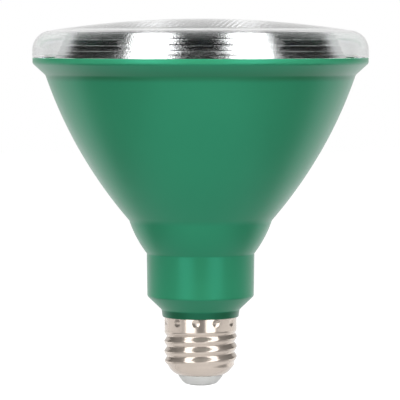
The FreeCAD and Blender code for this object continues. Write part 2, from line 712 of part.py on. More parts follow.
def wire_grommet():
    """Soft bush in the heat sink's middle hole that the two lamp wires pass through."""
    low = sink_seat - GROMMET_FLANGE_THICKNESS
    high = sink_top + GROMMET_FLANGE_THICKNESS
    return turned(outline(at(GROMMET_BORE_RADIUS, low), at(GROMMET_FLANGE_RADIUS, low),
                          at(GROMMET_FLANGE_RADIUS, sink_seat), at(GROMMET_BODY_RADIUS, sink_seat),
                          at(GROMMET_BODY_RADIUS, sink_top), at(GROMMET_FLANGE_RADIUS, sink_top),
                          at(GROMMET_FLANGE_RADIUS, high), at(GROMMET_BORE_RADIUS, high)))


def leads(places, stand):
    """Straight leads from a part that stands this far off the board's front, through to its back."""
    length = stand + DRIVER_THICKNESS + LEAD_END
    return [Part.makeCylinder(LEAD_RADIUS, length, Vector(x, -driver_face - stand, z), Vector(0, 1, 0))
            for x, z in places]


def bent_lead(x, depth, high, low):
    """Lead that comes out of a lying part at this depth and turns through the board at the low height."""
    bend = LEAD_RADIUS * 2
    points = [Vector(x, -depth, high), Vector(x, -depth, low), Vector(x, driver_face + LEAD_END, low)]
    return routed(points, [bend], LEAD_RADIUS)


def pair(place, pitch, across=0):
    """Two lead places about a part's middle, apart up the board or across it."""
    x, z = place
    return [(x - across / 2, driver_foot + z - pitch / 2), (x + across / 2, driver_foot + z + pitch / 2)]


def can_leads(place, length, pitch):
    """Two lead places below a can that lies on the board."""
    x, z = place
    low = driver_foot + z - length / 2 - CAN_LEAD_DROP
    return [(x - pitch / 2, low), (x + pitch / 2, low)]


def resistor_leads():
    """Two lead places beyond the ends of the resistor's body."""
    return pair(resistor_place, RESISTOR_LENGTH + 2 * CAN_LEAD_DROP)


def bobbin_pins():
    """Six pin places of the transformer, in two rows of three."""
    x, z = transformer_place
    half = TRANSFORMER_SIZE[2] / 2 + BOBBIN_FOOT / 2
    return [(x + count * BOBBIN_PIN_PITCH, driver_foot + z + side * half)
            for side in (-1, 1) for count in (-1, 0, 1)]


def lead_places():
    """Every place where a lead goes through the driver board."""
    return (pair(film_place, FILM_LEAD_PITCH) + can_leads(bulk_place, BULK_LENGTH, BULK_LEAD_PITCH)
            + can_leads(output_place, OUTPUT_LENGTH, OUTPUT_LEAD_PITCH)
            + pair(varistor_place, VARISTOR_LEAD_PITCH) + resistor_leads()
            + pair(choke_place, CHOKE_LEAD_PITCH) + bobbin_pins())


def driver_board():
    """Upright board, narrow in the neck and wide above it, with a hole for every lead."""
    front = -driver_face
    corners = [(-driver_neck_half, driver_foot), (driver_neck_half, driver_foot),
               (driver_neck_half, driver_step), (driver_top_half, driver_step + WIDE_STEP_RISE),
               (driver_top_half, driver_top), (-driver_top_half, driver_top),
               (-driver_top_half, driver_step + WIDE_STEP_RISE), (-driver_neck_half, driver_step)]
    points = [Vector(x, front, z) for x, z in corners]
    board = Part.Face(Part.makePolygon(points + points[:1])).extrude(Vector(0, DRIVER_THICKNESS, 0))
    radius = LEAD_RADIUS + SNUG_CLEARANCE
    holes = [Part.makeCylinder(radius, DRIVER_THICKNESS, Vector(x, front, z), Vector(0, 1, 0))
             for x, z in lead_places()]
    return board.cut(Part.makeCompound(holes))


def film_capacitor():
    """Box-shaped capacitor on two leads."""
    x, z = film_place
    wide, deep, tall = FILM_SIZE
    middle = driver_foot + z
    front = driver_face + PART_STAND
    body = block(x - wide / 2, x + wide / 2, -front - deep, -front, middle - tall / 2, middle + tall / 2)
    body = body.makeFillet(CAN_EDGE, body.Edges)
    return body.fuse(leads(pair(film_place, FILM_LEAD_PITCH), PART_STAND + CAN_EDGE))


def can_capacitor(place, radius, length, pitch):
    """Round can lying on the board, with a rolled groove near its foot and two bent leads."""
    x, z = place
    foot = driver_foot + z - length / 2
    top = foot + length
    groove = foot + radius / 2
    can = turned(outline(at(0, foot), at(radius - CAN_EDGE, foot), at(radius, foot + CAN_EDGE),
                         at(radius, groove - CAN_EDGE),
                         (at(radius - CAN_GROOVE_DEPTH, groove), at(radius, groove + CAN_EDGE)),
                         at(radius, top - CAN_EDGE), at(radius - CAN_EDGE, top), at(0, top)))
    depth = driver_face + PART_STAND + radius
    can.translate(Vector(x, -depth, 0))
    pins = [bent_lead(place_x, depth, foot + CAN_EDGE, low) for place_x, low in can_leads(place, length, pitch)]
    return can.fuse(pins)


def bulk_capacitor():
    """Large can that smooths the mains side."""
    return can_capacitor(bulk_place, BULK_RADIUS, BULK_LENGTH, BULK_LEAD_PITCH)


def output_capacitor():
    """Smaller can on the lamp side."""
    return can_capacitor(output_place, OUTPUT_RADIUS, OUTPUT_LENGTH, OUTPUT_LEAD_PITCH)


def varistor():
    """Coated disc on edge, on two leads."""
    x, z = varistor_place
    depth = driver_face + PART_STAND + VARISTOR_RADIUS
    start = Vector(x - VARISTOR_THICKNESS / 2, -depth, driver_foot + z)
    body = Part.makeCylinder(VARISTOR_RADIUS, VARISTOR_THICKNESS, start, Vector(1, 0, 0))
    body = body.makeFillet(VARISTOR_THICKNESS / 3, [edge for edge in body.Edges if len(edge.Vertexes) == 1])
    return body.fuse(leads(pair(varistor_place, VARISTOR_LEAD_PITCH), PART_STAND + VARISTOR_RADIUS))


def fusible_resistor():
    """Small resistor along the board, thicker at its two end caps, with a bent lead at each end."""
    x, z = resistor_place
    depth = driver_face + PART_STAND + RESISTOR_RADIUS
    foot = driver_foot + z - RESISTOR_LENGTH / 2
    top = foot + RESISTOR_LENGTH
    cap = RESISTOR_CAP_LENGTH
    edge = RESISTOR_CAP_EDGE
    full = RESISTOR_RADIUS
    waist = full - CAN_GROOVE_DEPTH / 2
    body = turned(outline(at(0, foot), at(full - edge, foot), at(full, foot + edge), at(full, foot + cap / 2),
                          at(waist, foot + cap), at(waist, top - cap), at(full, top - cap / 2),
                          at(full, top - edge), at(full - edge, top), at(0, top)))
    body.translate(Vector(x, -depth, 0))
    (_, low), (_, high) = resistor_leads()
    return body.fuse([bent_lead(x, depth, foot + cap, low), bent_lead(x, depth, top - cap, high)])


def choke_turned(start, end, radius, bore):
    """Ring or disc about the choke's axis, between two depths off the board's front."""
    x, z = choke_place
    base = Vector(x, -driver_face - end, driver_foot + z)
    ring = Part.makeCylinder(radius, end - start, base, Vector(0, 1, 0))
    if bore:
        ring = ring.cut(Part.makeCylinder(bore, end - start, base, Vector(0, 1, 0)))
    return ring


def choke_core():
    """Drum of dark ferrite on two leads."""
    foot = PART_STAND
    top = foot + CHOKE_LENGTH
    flanges = [choke_turned(foot, foot + CHOKE_FLANGE, CHOKE_RADIUS, 0),
               choke_turned(top - CHOKE_FLANGE, top, CHOKE_RADIUS, 0)]
    hub = choke_turned(foot, top, CHOKE_HUB_RADIUS, 0)
    return hub.fuse(flanges + leads(pair(choke_place, CHOKE_LEAD_PITCH), PART_STAND + CHOKE_FLANGE / 2))


def choke_winding():
    """Copper wire wound on the drum, between its flanges."""
    start = PART_STAND + CHOKE_FLANGE + SNUG_CLEARANCE
    end = PART_STAND + CHOKE_LENGTH - CHOKE_FLANGE - SNUG_CLEARANCE
    return choke_turned(start, end, CHOKE_RADIUS - CAN_GROOVE_DEPTH, CHOKE_HUB_RADIUS + SNUG_CLEARANCE)


def transformer_depth():
    """Depth of the transformer's middle off the driver board's middle."""
    coil = TRANSFORMER_SIZE[1] / 2 + BOBBIN_WALL + TRANSFORMER_COIL_BUILD
    return driver_face + PART_STAND + SNUG_CLEARANCE + coil


def transformer_block(wide, deep, tall):
    """Block about the transformer's middle."""
    x, z = transformer_place
    y = -transformer_depth()
    middle = driver_foot + z
    return block(x - wide / 2, x + wide / 2, y - deep / 2, y + deep / 2, middle - tall / 2, middle + tall / 2)


def transformer_core():
    """Ferrite frame with two windows on either side of its middle leg."""
    wide, deep, tall = TRANSFORMER_SIZE
    window = tall - 2 * TRANSFORMER_YOKE
    opening = transformer_block(wide - 2 * TRANSFORMER_SIDE, deep, window)
    opening = opening.cut(transformer_block(TRANSFORMER_LEG, deep, window))
    return transformer_block(wide, deep, tall).cut(opening)


def coil_block(build, tall, radius):
    """Upright block round the transformer's middle leg, with rounded corners."""
    wide = TRANSFORMER_LEG + 2 * build
    deep = TRANSFORMER_SIZE[1] + 2 * build
    body = transformer_block(wide, deep, tall)
    upright = [edge for edge in body.Edges if edge.BoundBox.ZLength > tall / 2]
    return body.makeFillet(radius, upright)


def transformer_bobbin():
    """Plastic former: a sleeve on the middle leg, two flanges and two feet with pins."""
    window = TRANSFORMER_SIZE[2] - 2 * TRANSFORMER_YOKE - 2 * SNUG_CLEARANCE
    build = BOBBIN_WALL + TRANSFORMER_COIL_BUILD
    corner = TRANSFORMER_COIL_BUILD / 2
    body = coil_block(build, window, corner)
    body = body.cut(coil_block(build + BOBBIN_WALL, window - 2 * BOBBIN_WALL, corner).cut(
        coil_block(BOBBIN_WALL, window, BOBBIN_WALL / 2)))
    body = body.cut(transformer_block(TRANSFORMER_LEG + 2 * SNUG_CLEARANCE,
                                      TRANSFORMER_SIZE[1] + 2 * SNUG_CLEARANCE, window))
    x, z = transformer_place
    wide = 2 * BOBBIN_PIN_PITCH + BOBBIN_FOOT
    half = TRANSFORMER_SIZE[2] / 2
    back = -driver_face - PART_STAND
    core_back = -transformer_depth() + TRANSFORMER_SIZE[1] / 2 + SNUG_CLEARANCE
    feet = []
    for side in (-1, 1):
        low, high = sorted((side * (half - TRANSFORMER_YOKE - BOBBIN_WALL), side * (half + BOBBIN_FOOT)))
        middle = driver_foot + z
        feet.append(block(x - wide / 2, x + wide / 2, core_back, back, middle + low, middle + high))
    return body.fuse(feet + leads(bobbin_pins(), PART_STAND + BOBBIN_FOOT))


def transformer_winding():
    """Copper wire wound on the bobbin's sleeve, wrapped in tape."""
    window = TRANSFORMER_SIZE[2] - 2 * TRANSFORMER_YOKE - 2 * SNUG_CLEARANCE
    tall = window - 2 * BOBBIN_WALL - 2 * SNUG_CLEARANCE
    build = BOBBIN_WALL + TRANSFORMER_COIL_BUILD - SNUG_CLEARANCE
    outer = coil_block(build, tall, TRANSFORMER_COIL_BUILD / 2)
    return outer.cut(coil_block(BOBBIN_WALL + SNUG_CLEARANCE, tall, BOBBIN_WALL / 2))


def surface_part(place, size, pins, pin_width):
    """Moulded part flat on the board's back, with bent pins along two sides."""
    x, z = place
    wide, deep, tall = size
    back = driver_face
    middle = driver_foot + z
    stand = PIN_THICKNESS / 2
    body = block(x - wide / 2, x + wide / 2, back + stand, back + stand + deep,
                 middle - tall / 2, middle + tall / 2)
    top_edges = [edge for edge in body.Edges if edge.BoundBox.YMin > back + deep / 2]
    body = body.makeChamfer(PIN_THICKNESS, top_edges)
    half = wide / 2
    out = half + PIN_REACH
    knee = back + stand + deep / 2
    profile = [(half - PIN_THICKNESS, knee), (half + PIN_REACH / 2, knee), (half + PIN_REACH / 2, back),
               (out, back), (out, back + PIN_THICKNESS),
               (half + PIN_REACH / 2 + PIN_THICKNESS, back + PIN_THICKNESS),
               (half + PIN_REACH / 2 + PIN_THICKNESS, knee + PIN_THICKNESS),
               (half - PIN_THICKNESS, knee + PIN_THICKNESS)]
    pitch = tall / pins
    legs = []
    for side in (-1, 1):
        for count in range(pins):
            low = middle - tall / 2 + pitch * (count + 0.5) - pin_width / 2
            points = [Vector(x + side * reach, y, low) for reach, y in profile]
            legs.append(Part.Face(Part.makePolygon(points + points[:1])).extrude(AXIS * pin_width))
    return body.fuse(legs)


def bridge_rectifier():
    """Four-pin rectifier."""
    return surface_part(bridge_place, BRIDGE_SIZE, BRIDGE_PIN_COUNT, LEAD_RADIUS * 2)


def driver_chip():
    """Eight-pin control chip."""
    return surface_part(chip_place, CHIP_SIZE, CHIP_PIN_COUNT, CHIP_PIN_WIDTH)


def output_diode():
    """Two-pin diode with wide pins."""
    return surface_part(diode_place, DIODE_SIZE, DIODE_PIN_COUNT, DIODE_SIZE[2] / 2)


def live_wire():
    """Wire from the driver board's back down the axis into the contact's socket."""
    y = driver_face + SNUG_CLEARANCE + MAINS_WIRE_RADIUS
    x = MAINS_WIRE_SPACING
    end = CONTACT_PIN_LENGTH - CONTACT_SOCKET_DEPTH + SNUG_CLEARANCE
    points = [Vector(x, y, driver_foot + MAINS_WIRE_START), Vector(x, y, driver_foot - HOUSING_WALL),
              Vector(0, 0, collar_foot), Vector(0, 0, end)]
    return routed(points, [MAINS_WIRE_BEND, MAINS_WIRE_BEND], MAINS_WIRE_RADIUS)


def neutral_wire():
    """Wire from the driver board's back through the spigot and out to the inside of the screw shell."""
    y = driver_face + SNUG_CLEARANCE + MAINS_WIRE_RADIUS
    x = -MAINS_WIRE_SPACING
    root = THREAD_ROOT_RADIUS - SHELL_WALL
    bore = root - SNUG_CLEARANCE - SPIGOT_WALL
    down = -bore + MAINS_WIRE_RADIUS + SLIDE_CLEARANCE
    spigot_foot = collar_foot - SPIGOT_LENGTH
    level = spigot_foot - MAINS_WIRE_RADIUS * 2
    points = [Vector(x, y, driver_foot + MAINS_WIRE_START), Vector(x, y, driver_foot - HOUSING_WALL),
              Vector(down, 0, collar_foot - SPIGOT_BAND_LENGTH), Vector(down, 0, level),
              Vector(SLIDE_CLEARANCE - root, 0, level)]
    bends = [MAINS_WIRE_BEND, MAINS_WIRE_BEND, NEUTRAL_TURN_BEND]
    return routed(points, bends, MAINS_WIRE_RADIUS)


def lamp_wire(side):
    """Wire from the driver board's back, through the grommet and over onto the lamp board."""
    y = driver_face + SNUG_CLEARANCE + LED_WIRE_RADIUS
    near = side * (LED_WIRE_RADIUS + SNUG_CLEARANCE)
    flat = board_top + LED_WIRE_RADIUS + SNUG_CLEARANCE
    points = [Vector(side * LED_WIRE_SPACING, y, driver_top - LED_WIRE_START),
              Vector(side * LED_WIRE_SPACING, y, driver_top + LED_WIRE_RADIUS),
              Vector(near, 0, sink_seat - SINK_PLATE_THICKNESS), Vector(near, 0, flat),
              Vector(side * LED_WIRE_END, 0, flat)]
    bends = [LED_WIRE_BEND, LED_WIRE_BEND, LED_WIRE_TURN_BEND]
    return routed(points, bends, LED_WIRE_RADIUS)


PARTS = {
    "front_lens": front_lens,
    "lens_seal": lens_seal,
    "reflector": reflector,
    "housing": housing,
    "heat_sink": heat_sink,
    "thermal_pad": thermal_pad,
    "led_board": led_board,
    "board_screws": board_screws,
    "wire_grommet": wire_grommet,
    "led_wire_red": lambda: lamp_wire(1),
    "led_wire_black": lambda: lamp_wire(-1),
    "driver_board": driver_board,
    "film_capacitor": film_capacitor,
    "bulk_capacitor": bulk_capacitor,
    "output_capacitor": output_capacitor,
    "varistor": varistor,
    "fusible_resistor": fusible_resistor,
    "choke_core": choke_core,
    "choke_winding": choke_winding,
    "transformer_core": transformer_core,
    "transformer_bobbin": transformer_bobbin,
    "transformer_winding": transformer_winding,
    "bridge_rectifier": bridge_rectifier,
    "driver_chip": driver_chip,
    "output_diode": output_diode,
    "live_wire": live_wire,
    "neutral_wire": neutral_wire,
    "screw_shell": screw_shell,
    "base_insulator": base_insulator,
    "centre_contact": centre_contact,
}
for number, place in enumerate(led_places(), 1):
    PARTS[f"led_{number:02d}"] = lambda place=place: light_diode(place)

os.makedirs("parts", exist_ok=True)
for name, make in PARTS.items():
    shape = make()
    if len(shape.Solids) == 1:
        shape = shape.Solids[0]
    print(name, shape.ShapeType, shape.isValid(), len(shape.Solids), round(shape.Volume, 1))
    shape.exportStep("parts/" + name + ".step")
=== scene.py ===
import math
import bmesh
import bpy
import numpy as np
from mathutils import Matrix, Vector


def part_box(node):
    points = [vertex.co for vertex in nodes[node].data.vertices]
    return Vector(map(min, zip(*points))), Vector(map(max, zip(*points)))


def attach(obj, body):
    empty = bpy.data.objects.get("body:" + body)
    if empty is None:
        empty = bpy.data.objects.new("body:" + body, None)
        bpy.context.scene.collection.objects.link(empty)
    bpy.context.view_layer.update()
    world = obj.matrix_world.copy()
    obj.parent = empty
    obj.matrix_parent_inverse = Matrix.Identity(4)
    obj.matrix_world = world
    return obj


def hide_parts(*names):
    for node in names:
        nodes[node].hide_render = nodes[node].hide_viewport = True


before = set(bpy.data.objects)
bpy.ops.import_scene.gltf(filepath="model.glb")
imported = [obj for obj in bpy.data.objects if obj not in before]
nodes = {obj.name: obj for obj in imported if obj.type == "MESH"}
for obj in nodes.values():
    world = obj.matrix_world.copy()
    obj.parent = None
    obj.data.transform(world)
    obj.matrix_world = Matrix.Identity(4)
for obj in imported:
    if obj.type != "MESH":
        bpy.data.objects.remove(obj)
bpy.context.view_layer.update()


# The camera stands about a metre in front of the lamp, a little above the edge of its lens, and looks
# slightly down. The photograph is 400 pixels square and takes in 144 mm at the lamp's axis.
MM = 0.001
CAMERA_DISTANCE = 1.05
CAMERA_HEIGHT = 0.1257
AIM_HEIGHT = 0.0666
AIM_ACROSS = -0.0002
VIEW_WIDTH = 0.1437
SENSOR = 36.0


def look(owner, target):
    """Turns an object so that its -Z points from where it stands to the target."""
    way = np.array(target) - np.array(owner.location)
    flat = math.hypot(way[0], way[1])
    owner.rotation_euler = (math.atan2(flat, -way[2]), 0, math.atan2(-way[0], way[1]))


camera_data = bpy.data.cameras.new("camera")
camera_data.sensor_width = SENSOR
camera_data.lens = SENSOR * CAMERA_DISTANCE / VIEW_WIDTH
camera_data.clip_start = 0.01
camera = bpy.data.objects.new("camera", camera_data)
camera.location = (AIM_ACROSS, -CAMERA_DISTANCE, CAMERA_HEIGHT)
look(camera, (AIM_ACROSS, 0, AIM_HEIGHT))
bpy.context.scene.collection.objects.link(camera)
bpy.context.scene.camera = camera


# Centre contact: a flat-headed brass pin, dull with solder tin, pressed through the insulator. Its head
# is flat with a soft edge, and only the head shows below the insulator.
def turned_profile(corners, reach, steps=5):
    """Outline in radius and height with its corners rounded.

    Each corner is replaced by points (1-t)^2 a + 2t(1-t) c + t^2 b, where a and b lie on the two sides at
    the corner's reach from it. Points that fall together are dropped."""
    corners = np.array(corners, float) * MM
    reach = np.broadcast_to(np.array(reach, float) * MM, (len(corners),))[:, None]
    before = np.roll(corners, 1, axis=0) - corners
    after = np.roll(corners, -1, axis=0) - corners
    start = corners + before / np.linalg.norm(before, axis=1, keepdims=True) * reach
    end = corners + after / np.linalg.norm(after, axis=1, keepdims=True) * reach
    t = np.linspace(0, 1, steps)[None, :, None]
    points = ((1 - t) ** 2 * start[:, None] + 2 * t * (1 - t) * corners[:, None] + t ** 2 * end[:, None])
    points = points.reshape(-1, 2)
    apart = np.linalg.norm(points - np.roll(points, 1, axis=0), axis=1) > 1e-7
    return points[apart]


def turned_grid(profile, columns=128):
    """Grid of points x = r cos a, y = r sin a, z = h for every profile point and angle a."""
    angle = np.linspace(0, 2 * np.pi, columns, endpoint=False)[None, :]
    radius, height = profile[:, :1], profile[:, 1:]
    return np.stack([radius * np.cos(angle), radius * np.sin(angle), height + 0 * angle], axis=-1)


def link_piece(name, mesh):
    """Object that holds this mesh and stands at the scene's origin."""
    piece = bpy.data.objects.new(name, mesh)
    bpy.context.scene.collection.objects.link(piece)
    return piece


def grid_faces(rows, columns, first=0, closed=True, wrapped=True):
    """Corners of a grid's faces, four neighbours each, with the grid's points numbered from first.

    A closed grid joins its last row to its first one, and a wrapped grid joins its columns so."""
    row = np.arange(rows if closed else rows - 1)[:, None]
    column = np.arange(columns if wrapped else columns - 1)[None, :]
    above, beside = (row + 1) % rows, (column + 1) % columns
    faces = [row * columns + column, row * columns + beside,
             above * columns + beside, above * columns + column]
    return first + np.stack(faces, axis=-1).reshape(-1, 4)


def piece_from_faces(name, points, faces, crease, bridged=False):
    """Smooth piece with sharp edges above the crease angle, in which points that meet are merged.

    A bridged piece has its two open edges joined by a strip of faces."""
    mesh = bpy.data.meshes.new(name)
    mesh.from_pydata(points.tolist(), [], faces.tolist())
    work = bmesh.new()
    work.from_mesh(mesh)
    bmesh.ops.remove_doubles(work, verts=work.verts, dist=1e-8)
    if bridged:
        bmesh.ops.bridge_loops(work, edges=[edge for edge in work.edges if edge.is_boundary])
    bmesh.ops.recalc_face_normals(work, faces=work.faces)
    work.to_mesh(mesh)
    work.free()
    mesh.shade_smooth()
    mesh.set_sharp_from_angle(angle=math.radians(crease))
    return link_piece(name, mesh)


def piece_from_grid(name, grid, crease=35):
    """Piece whose columns run round the axis, and whose rows close into a loop."""
    return piece_from_faces(name, grid.reshape(-1, 3), grid_faces(*grid.shape[:2]), crease)


def stand_for(piece, slot, finish, *replaced):
    """Gives a new piece its body and its material, and lets it stand for solids of the frame; the slot is
    not used.
    """
    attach(piece, "root")
    piece.data.materials.append(finish)
    if replaced:
        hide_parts(*replaced)


def marks_group():
    """Node group of handling marks: a soft cloud for gloss and colour, and a fine grain for relief."""
    group = bpy.data.node_groups.new("handling_marks", "ShaderNodeTree")
    face = group.interface
    face.new_socket("Cloud Scale", in_out="INPUT", socket_type="NodeSocketFloat").default_value = 60
    face.new_socket("Grain Scale", in_out="INPUT", socket_type="NodeSocketFloat").default_value = 1500
    face.new_socket("Cloud", in_out="OUTPUT", socket_type="NodeSocketFloat")
    face.new_socket("Grain", in_out="OUTPUT", socket_type="NodeSocketFloat")
    entry = group.nodes.new("NodeGroupInput")
    leave = group.nodes.new("NodeGroupOutput")
    place = group.nodes.new("ShaderNodeTexCoord")
    for wanted, detail in (("Cloud", 3), ("Grain", 2)):
        noise = group.nodes.new("ShaderNodeTexNoise")
        noise.inputs["Detail"].default_value = detail
        group.links.new(place.outputs["Object"], noise.inputs["Vector"])
        group.links.new(entry.outputs[wanted + " Scale"], noise.inputs["Scale"])
        group.links.new(noise.outputs["Fac"], leave.inputs[wanted])
    return group


handling_marks = marks_group()


class Nodes:
    """Short calls for the shader nodes of a material or of the world."""

    def __init__(self, tree):
        self.tree = tree

    def set(self, node, **values):
        for name, value in values.items():
            node.inputs[name].default_value = value

    def node(self, kind, **values):
        made = self.tree.nodes.new("ShaderNode" + kind)
        self.set(made, **values)
        return made

    def link(self, out, into):
        self.tree.links.new(out, into)

    def sum(self, kind, first, second=0.0):
        """One sum on two values, each a number or another node's output."""
        made = self.node("Math")
        made.operation = kind
        for socket, value in zip(made.inputs, (first, second)):
            if isinstance(value, (int, float)):
                socket.default_value = value
            else:
                self.link(value, socket)
        return made.outputs[0]

    def product(self, first, *others):
        for other in others:
            first = self.sum("MULTIPLY", first, other)
        return first

    def rest(self, value):
        """One less a value."""
        return self.sum("SUBTRACT", 1.0, value)

    def step(self, value, low, high, below=0.0, above=1.0):
        """Smooth step of a value, from below at low to above at high; high may be the lower one."""
        made = self.node("MapRange", **{"From Min": low, "From Max": high, "To Min": below, "To Max": above})
        made.interpolation_type = "SMOOTHSTEP"
        self.link(value, made.inputs["Value"])
        return made.outputs["Result"]

    def axes(self, kind="Object"):
        """X, Y and Z of the piece's own coordinates, or of the world's direction where it is Generated."""
        split = self.node("SeparateXYZ")
        self.link(self.node("TexCoord").outputs[kind], split.inputs["Vector"])
        return split.outputs


class Finish(Nodes):
    """A material in the making, with its shader."""

    def __init__(self, name, colour, rough, metal=0.0, **sockets):
        self.material = bpy.data.materials.new(name)
        self.material.use_nodes = True
        super().__init__(self.material.node_tree)
        self.shader = self.tree.nodes["Principled BSDF"]
        self.set(self.shader, **{"Base Color": (*colour, 1), "Roughness": rough, "Metallic": metal})
        self.set(self.shader, **{name.replace("_", " "): value for name, value in sockets.items()})

    def place(self, scale=(1, 1, 1), turn=(0, 0, 0)):
        """The piece's own coordinates, stretched and turned."""
        source = self.node("TexCoord")
        mapping = self.node("Mapping", Scale=scale, Rotation=turn)
        self.link(source.outputs["Object"], mapping.inputs["Vector"])
        return mapping.outputs["Vector"]

    def blend(self, factor, low, high, into):
        """A colour or number that runs from low to high with a mask, into one of the shader's sockets."""
        ramp = self.node("ValToRGB")
        ramp.color_ramp.elements[0].position = 0.3
        ramp.color_ramp.elements[1].position = 0.7
        for stop, value in zip(ramp.color_ramp.elements, (low, high)):
            stop.color = (*value, 1) if isinstance(value, tuple) else (value, value, value, 1)
        self.link(factor, ramp.inputs["Fac"])
        self.link(ramp.outputs["Color"], self.shader.inputs[into])

    def bands(self, axis, pitch, turn=0.0, **values):
        """Even waves of this pitch in millimetres along one axis, turned about Z."""
        wave = self.node("TexWave", Scale=math.tau / (20 * pitch * MM), **values)
        wave.bands_direction = axis
        self.link(self.place(turn=(0, 0, turn)), wave.inputs["Vector"])
        return wave.outputs["Fac"]

    def tint(self, factor, colour, into):
        """Multiplies what feeds a colour socket by a colour, as far as the mask says."""
        made = self.node("Mix")
        made.data_type, made.blend_type = "RGBA", "MULTIPLY"
        self.link(factor, made.inputs[0])
        self.link(self.shader.inputs[into].links[0].from_socket, made.inputs[6])
        made.inputs[7].default_value = (*colour, 1)
        self.link(made.outputs[2], self.shader.inputs[into])

    def relief(self, height, distance, strength=1.0):
        """Bump of this depth in metres into the shader's normal."""
        bump = self.node("Bump", Distance=distance, Strength=strength)
        self.link(height, bump.inputs["Height"])
        self.link(bump.outputs["Normal"], self.shader.inputs["Normal"])

    def marks(self, cloud, grain):
        """The shared handling marks at these scales; returns the soft cloud and the fine grain."""
        group = self.node("Group")
        group.node_tree = handling_marks
        self.set(group, **{"Cloud Scale": cloud, "Grain Scale": grain})
        return group.outputs["Cloud"], group.outputs["Grain"]


def contact_finish():
    """Dull tin, darker in patches where a socket's spring has rubbed it."""
    finish = Finish("tinned_contact", (0.24, 0.23, 0.22), 0.34, metal=1.0)
    cloud, grain = finish.marks(420, 2500)
    finish.blend(cloud, (0.07, 0.066, 0.062), (0.40, 0.39, 0.37), "Base Color")
    finish.blend(grain, 0.26, 0.42, "Roughness")
    finish.relief(grain, 0.00001, 0.4)
    return finish.material


CONTACT_RADIUS = 4.3
CONTACT_THICKNESS = 0.6
CONTACT_PIN = 1.4
CONTACT_PIN_TOP = 8.6
contact = piece_from_grid("contact_pin", turned_grid(turned_profile(
    [(0, 0), (CONTACT_RADIUS, 0), (CONTACT_RADIUS, CONTACT_THICKNESS), (CONTACT_PIN, CONTACT_THICKNESS),
     (CONTACT_PIN, CONTACT_PIN_TOP), (0, CONTACT_PIN_TOP)], [0, 0.25, 0.1, 0, 0.2, 0]), 96))
stand_for(contact, "nickel", contact_finish(), "centre_contact")


# Base insulator: a pale moulded plug. Its rounded nose holds the contact's head, its flare meets the
# shell's bottom edge, and a flange inside keeps it there.
INSULATOR_NOSE = 5.5
INSULATOR_FLARE = 8.2
INSULATOR_FLARE_HEIGHT = 3.65
INSULATOR_DROP = 0.35
FLARE_BOW = (0.189, -0.162)
HEAD_GAP = 0.05
INSULATOR_WAIST = 8.1
INSULATOR_WAIST_TOP = 4.1
INSULATOR_BEVEL = (9.35, 4.71)
INSULATOR_FLANGE = 10.38
INSULATOR_FLANGE_FOOT = 5.66
INSULATOR_TOP = 7.2
INSULATOR_BORE = 1.45


def insulator_finish():
    """Pale grey-white moulded plastic with a faint grain."""
    finish = Finish("pale_moulding", (0.86, 0.86, 0.835), 0.42, Specular_IOR_Level=0.8)
    cloud, grain = finish.marks(120, 1800)
    finish.blend(cloud, (0.84, 0.84, 0.815), (0.88, 0.88, 0.86), "Base Color")
    finish.blend(grain, 0.36, 0.48, "Roughness")
    finish.relief(grain, 0.00001, 0.3)
    return finish.material


bow = np.linspace(0, 1, 8)[:, None]
flare = (np.array([[INSULATOR_NOSE, INSULATOR_DROP]]) * (1 - bow)
         + np.array([[INSULATOR_FLARE, INSULATOR_FLARE_HEIGHT]]) * bow
         + np.array([FLARE_BOW]) * 4 * bow * (1 - bow))
insulator_corners = [(INSULATOR_BORE, CONTACT_THICKNESS), (CONTACT_RADIUS + HEAD_GAP, CONTACT_THICKNESS),
                     (CONTACT_RADIUS + HEAD_GAP, INSULATOR_DROP), *flare.tolist(),
                     (INSULATOR_WAIST, INSULATOR_FLARE_HEIGHT), (INSULATOR_WAIST, INSULATOR_WAIST_TOP),
                     INSULATOR_BEVEL, (INSULATOR_FLANGE, INSULATOR_FLANGE_FOOT),
                     (INSULATOR_FLANGE, INSULATOR_TOP), (INSULATOR_BORE, INSULATOR_TOP)]
insulator = piece_from_grid("insulator_plug", turned_grid(turned_profile(
    insulator_corners, [0, 0, 0.1, 0.3, 0, 0, 0, 0, 0, 0, 0.1, 0, 0, 0, 0, 0.2, 0]), 128))
stand_for(insulator, "insulator_plastic", insulator_finish(), "base_insulator")


# Screw shell: thin nickel-plated sheet, rolled so that the same round-crested thread shows outside and
# inside. A row of punched marks near its top edge stakes it to the housing.
SHELL_EDGE_HEIGHT = 3.7
SHELL_EDGE_RADIUS = 8.3
SHELL_BOWL_HEIGHT = 5.9
SHELL_EDGE_TILT = math.radians(71.8)
SHELL_THREAD_LENGTH = 10.6
SHELL_BAND_LENGTH = 4.3
SHELL_BAND_RADIUS = 13.0
SHELL_WALL = 0.35
THREAD_PITCH = 25.4 / 7
THREAD_ROOT = 12.25
THREAD_DEPTH = 0.85
THREAD_START = 6.6
THREAD_RUN_OUT = 2.2
STAKE_COUNT = 11
STAKE_FIRST = math.radians(-97.3)
STAKE_HEIGHT = 23.0
STAKE_RADIUS = 1.05
STAKE_DEPTH = 0.2
SHELL_COLUMNS = 352


def eased(value, low, high):
    """Nought below low, one above high, and 3s^2 - 2s^3 between them."""
    share = np.clip((value - low) / (high - low), 0, 1)
    return share * share * (3 - 2 * share)


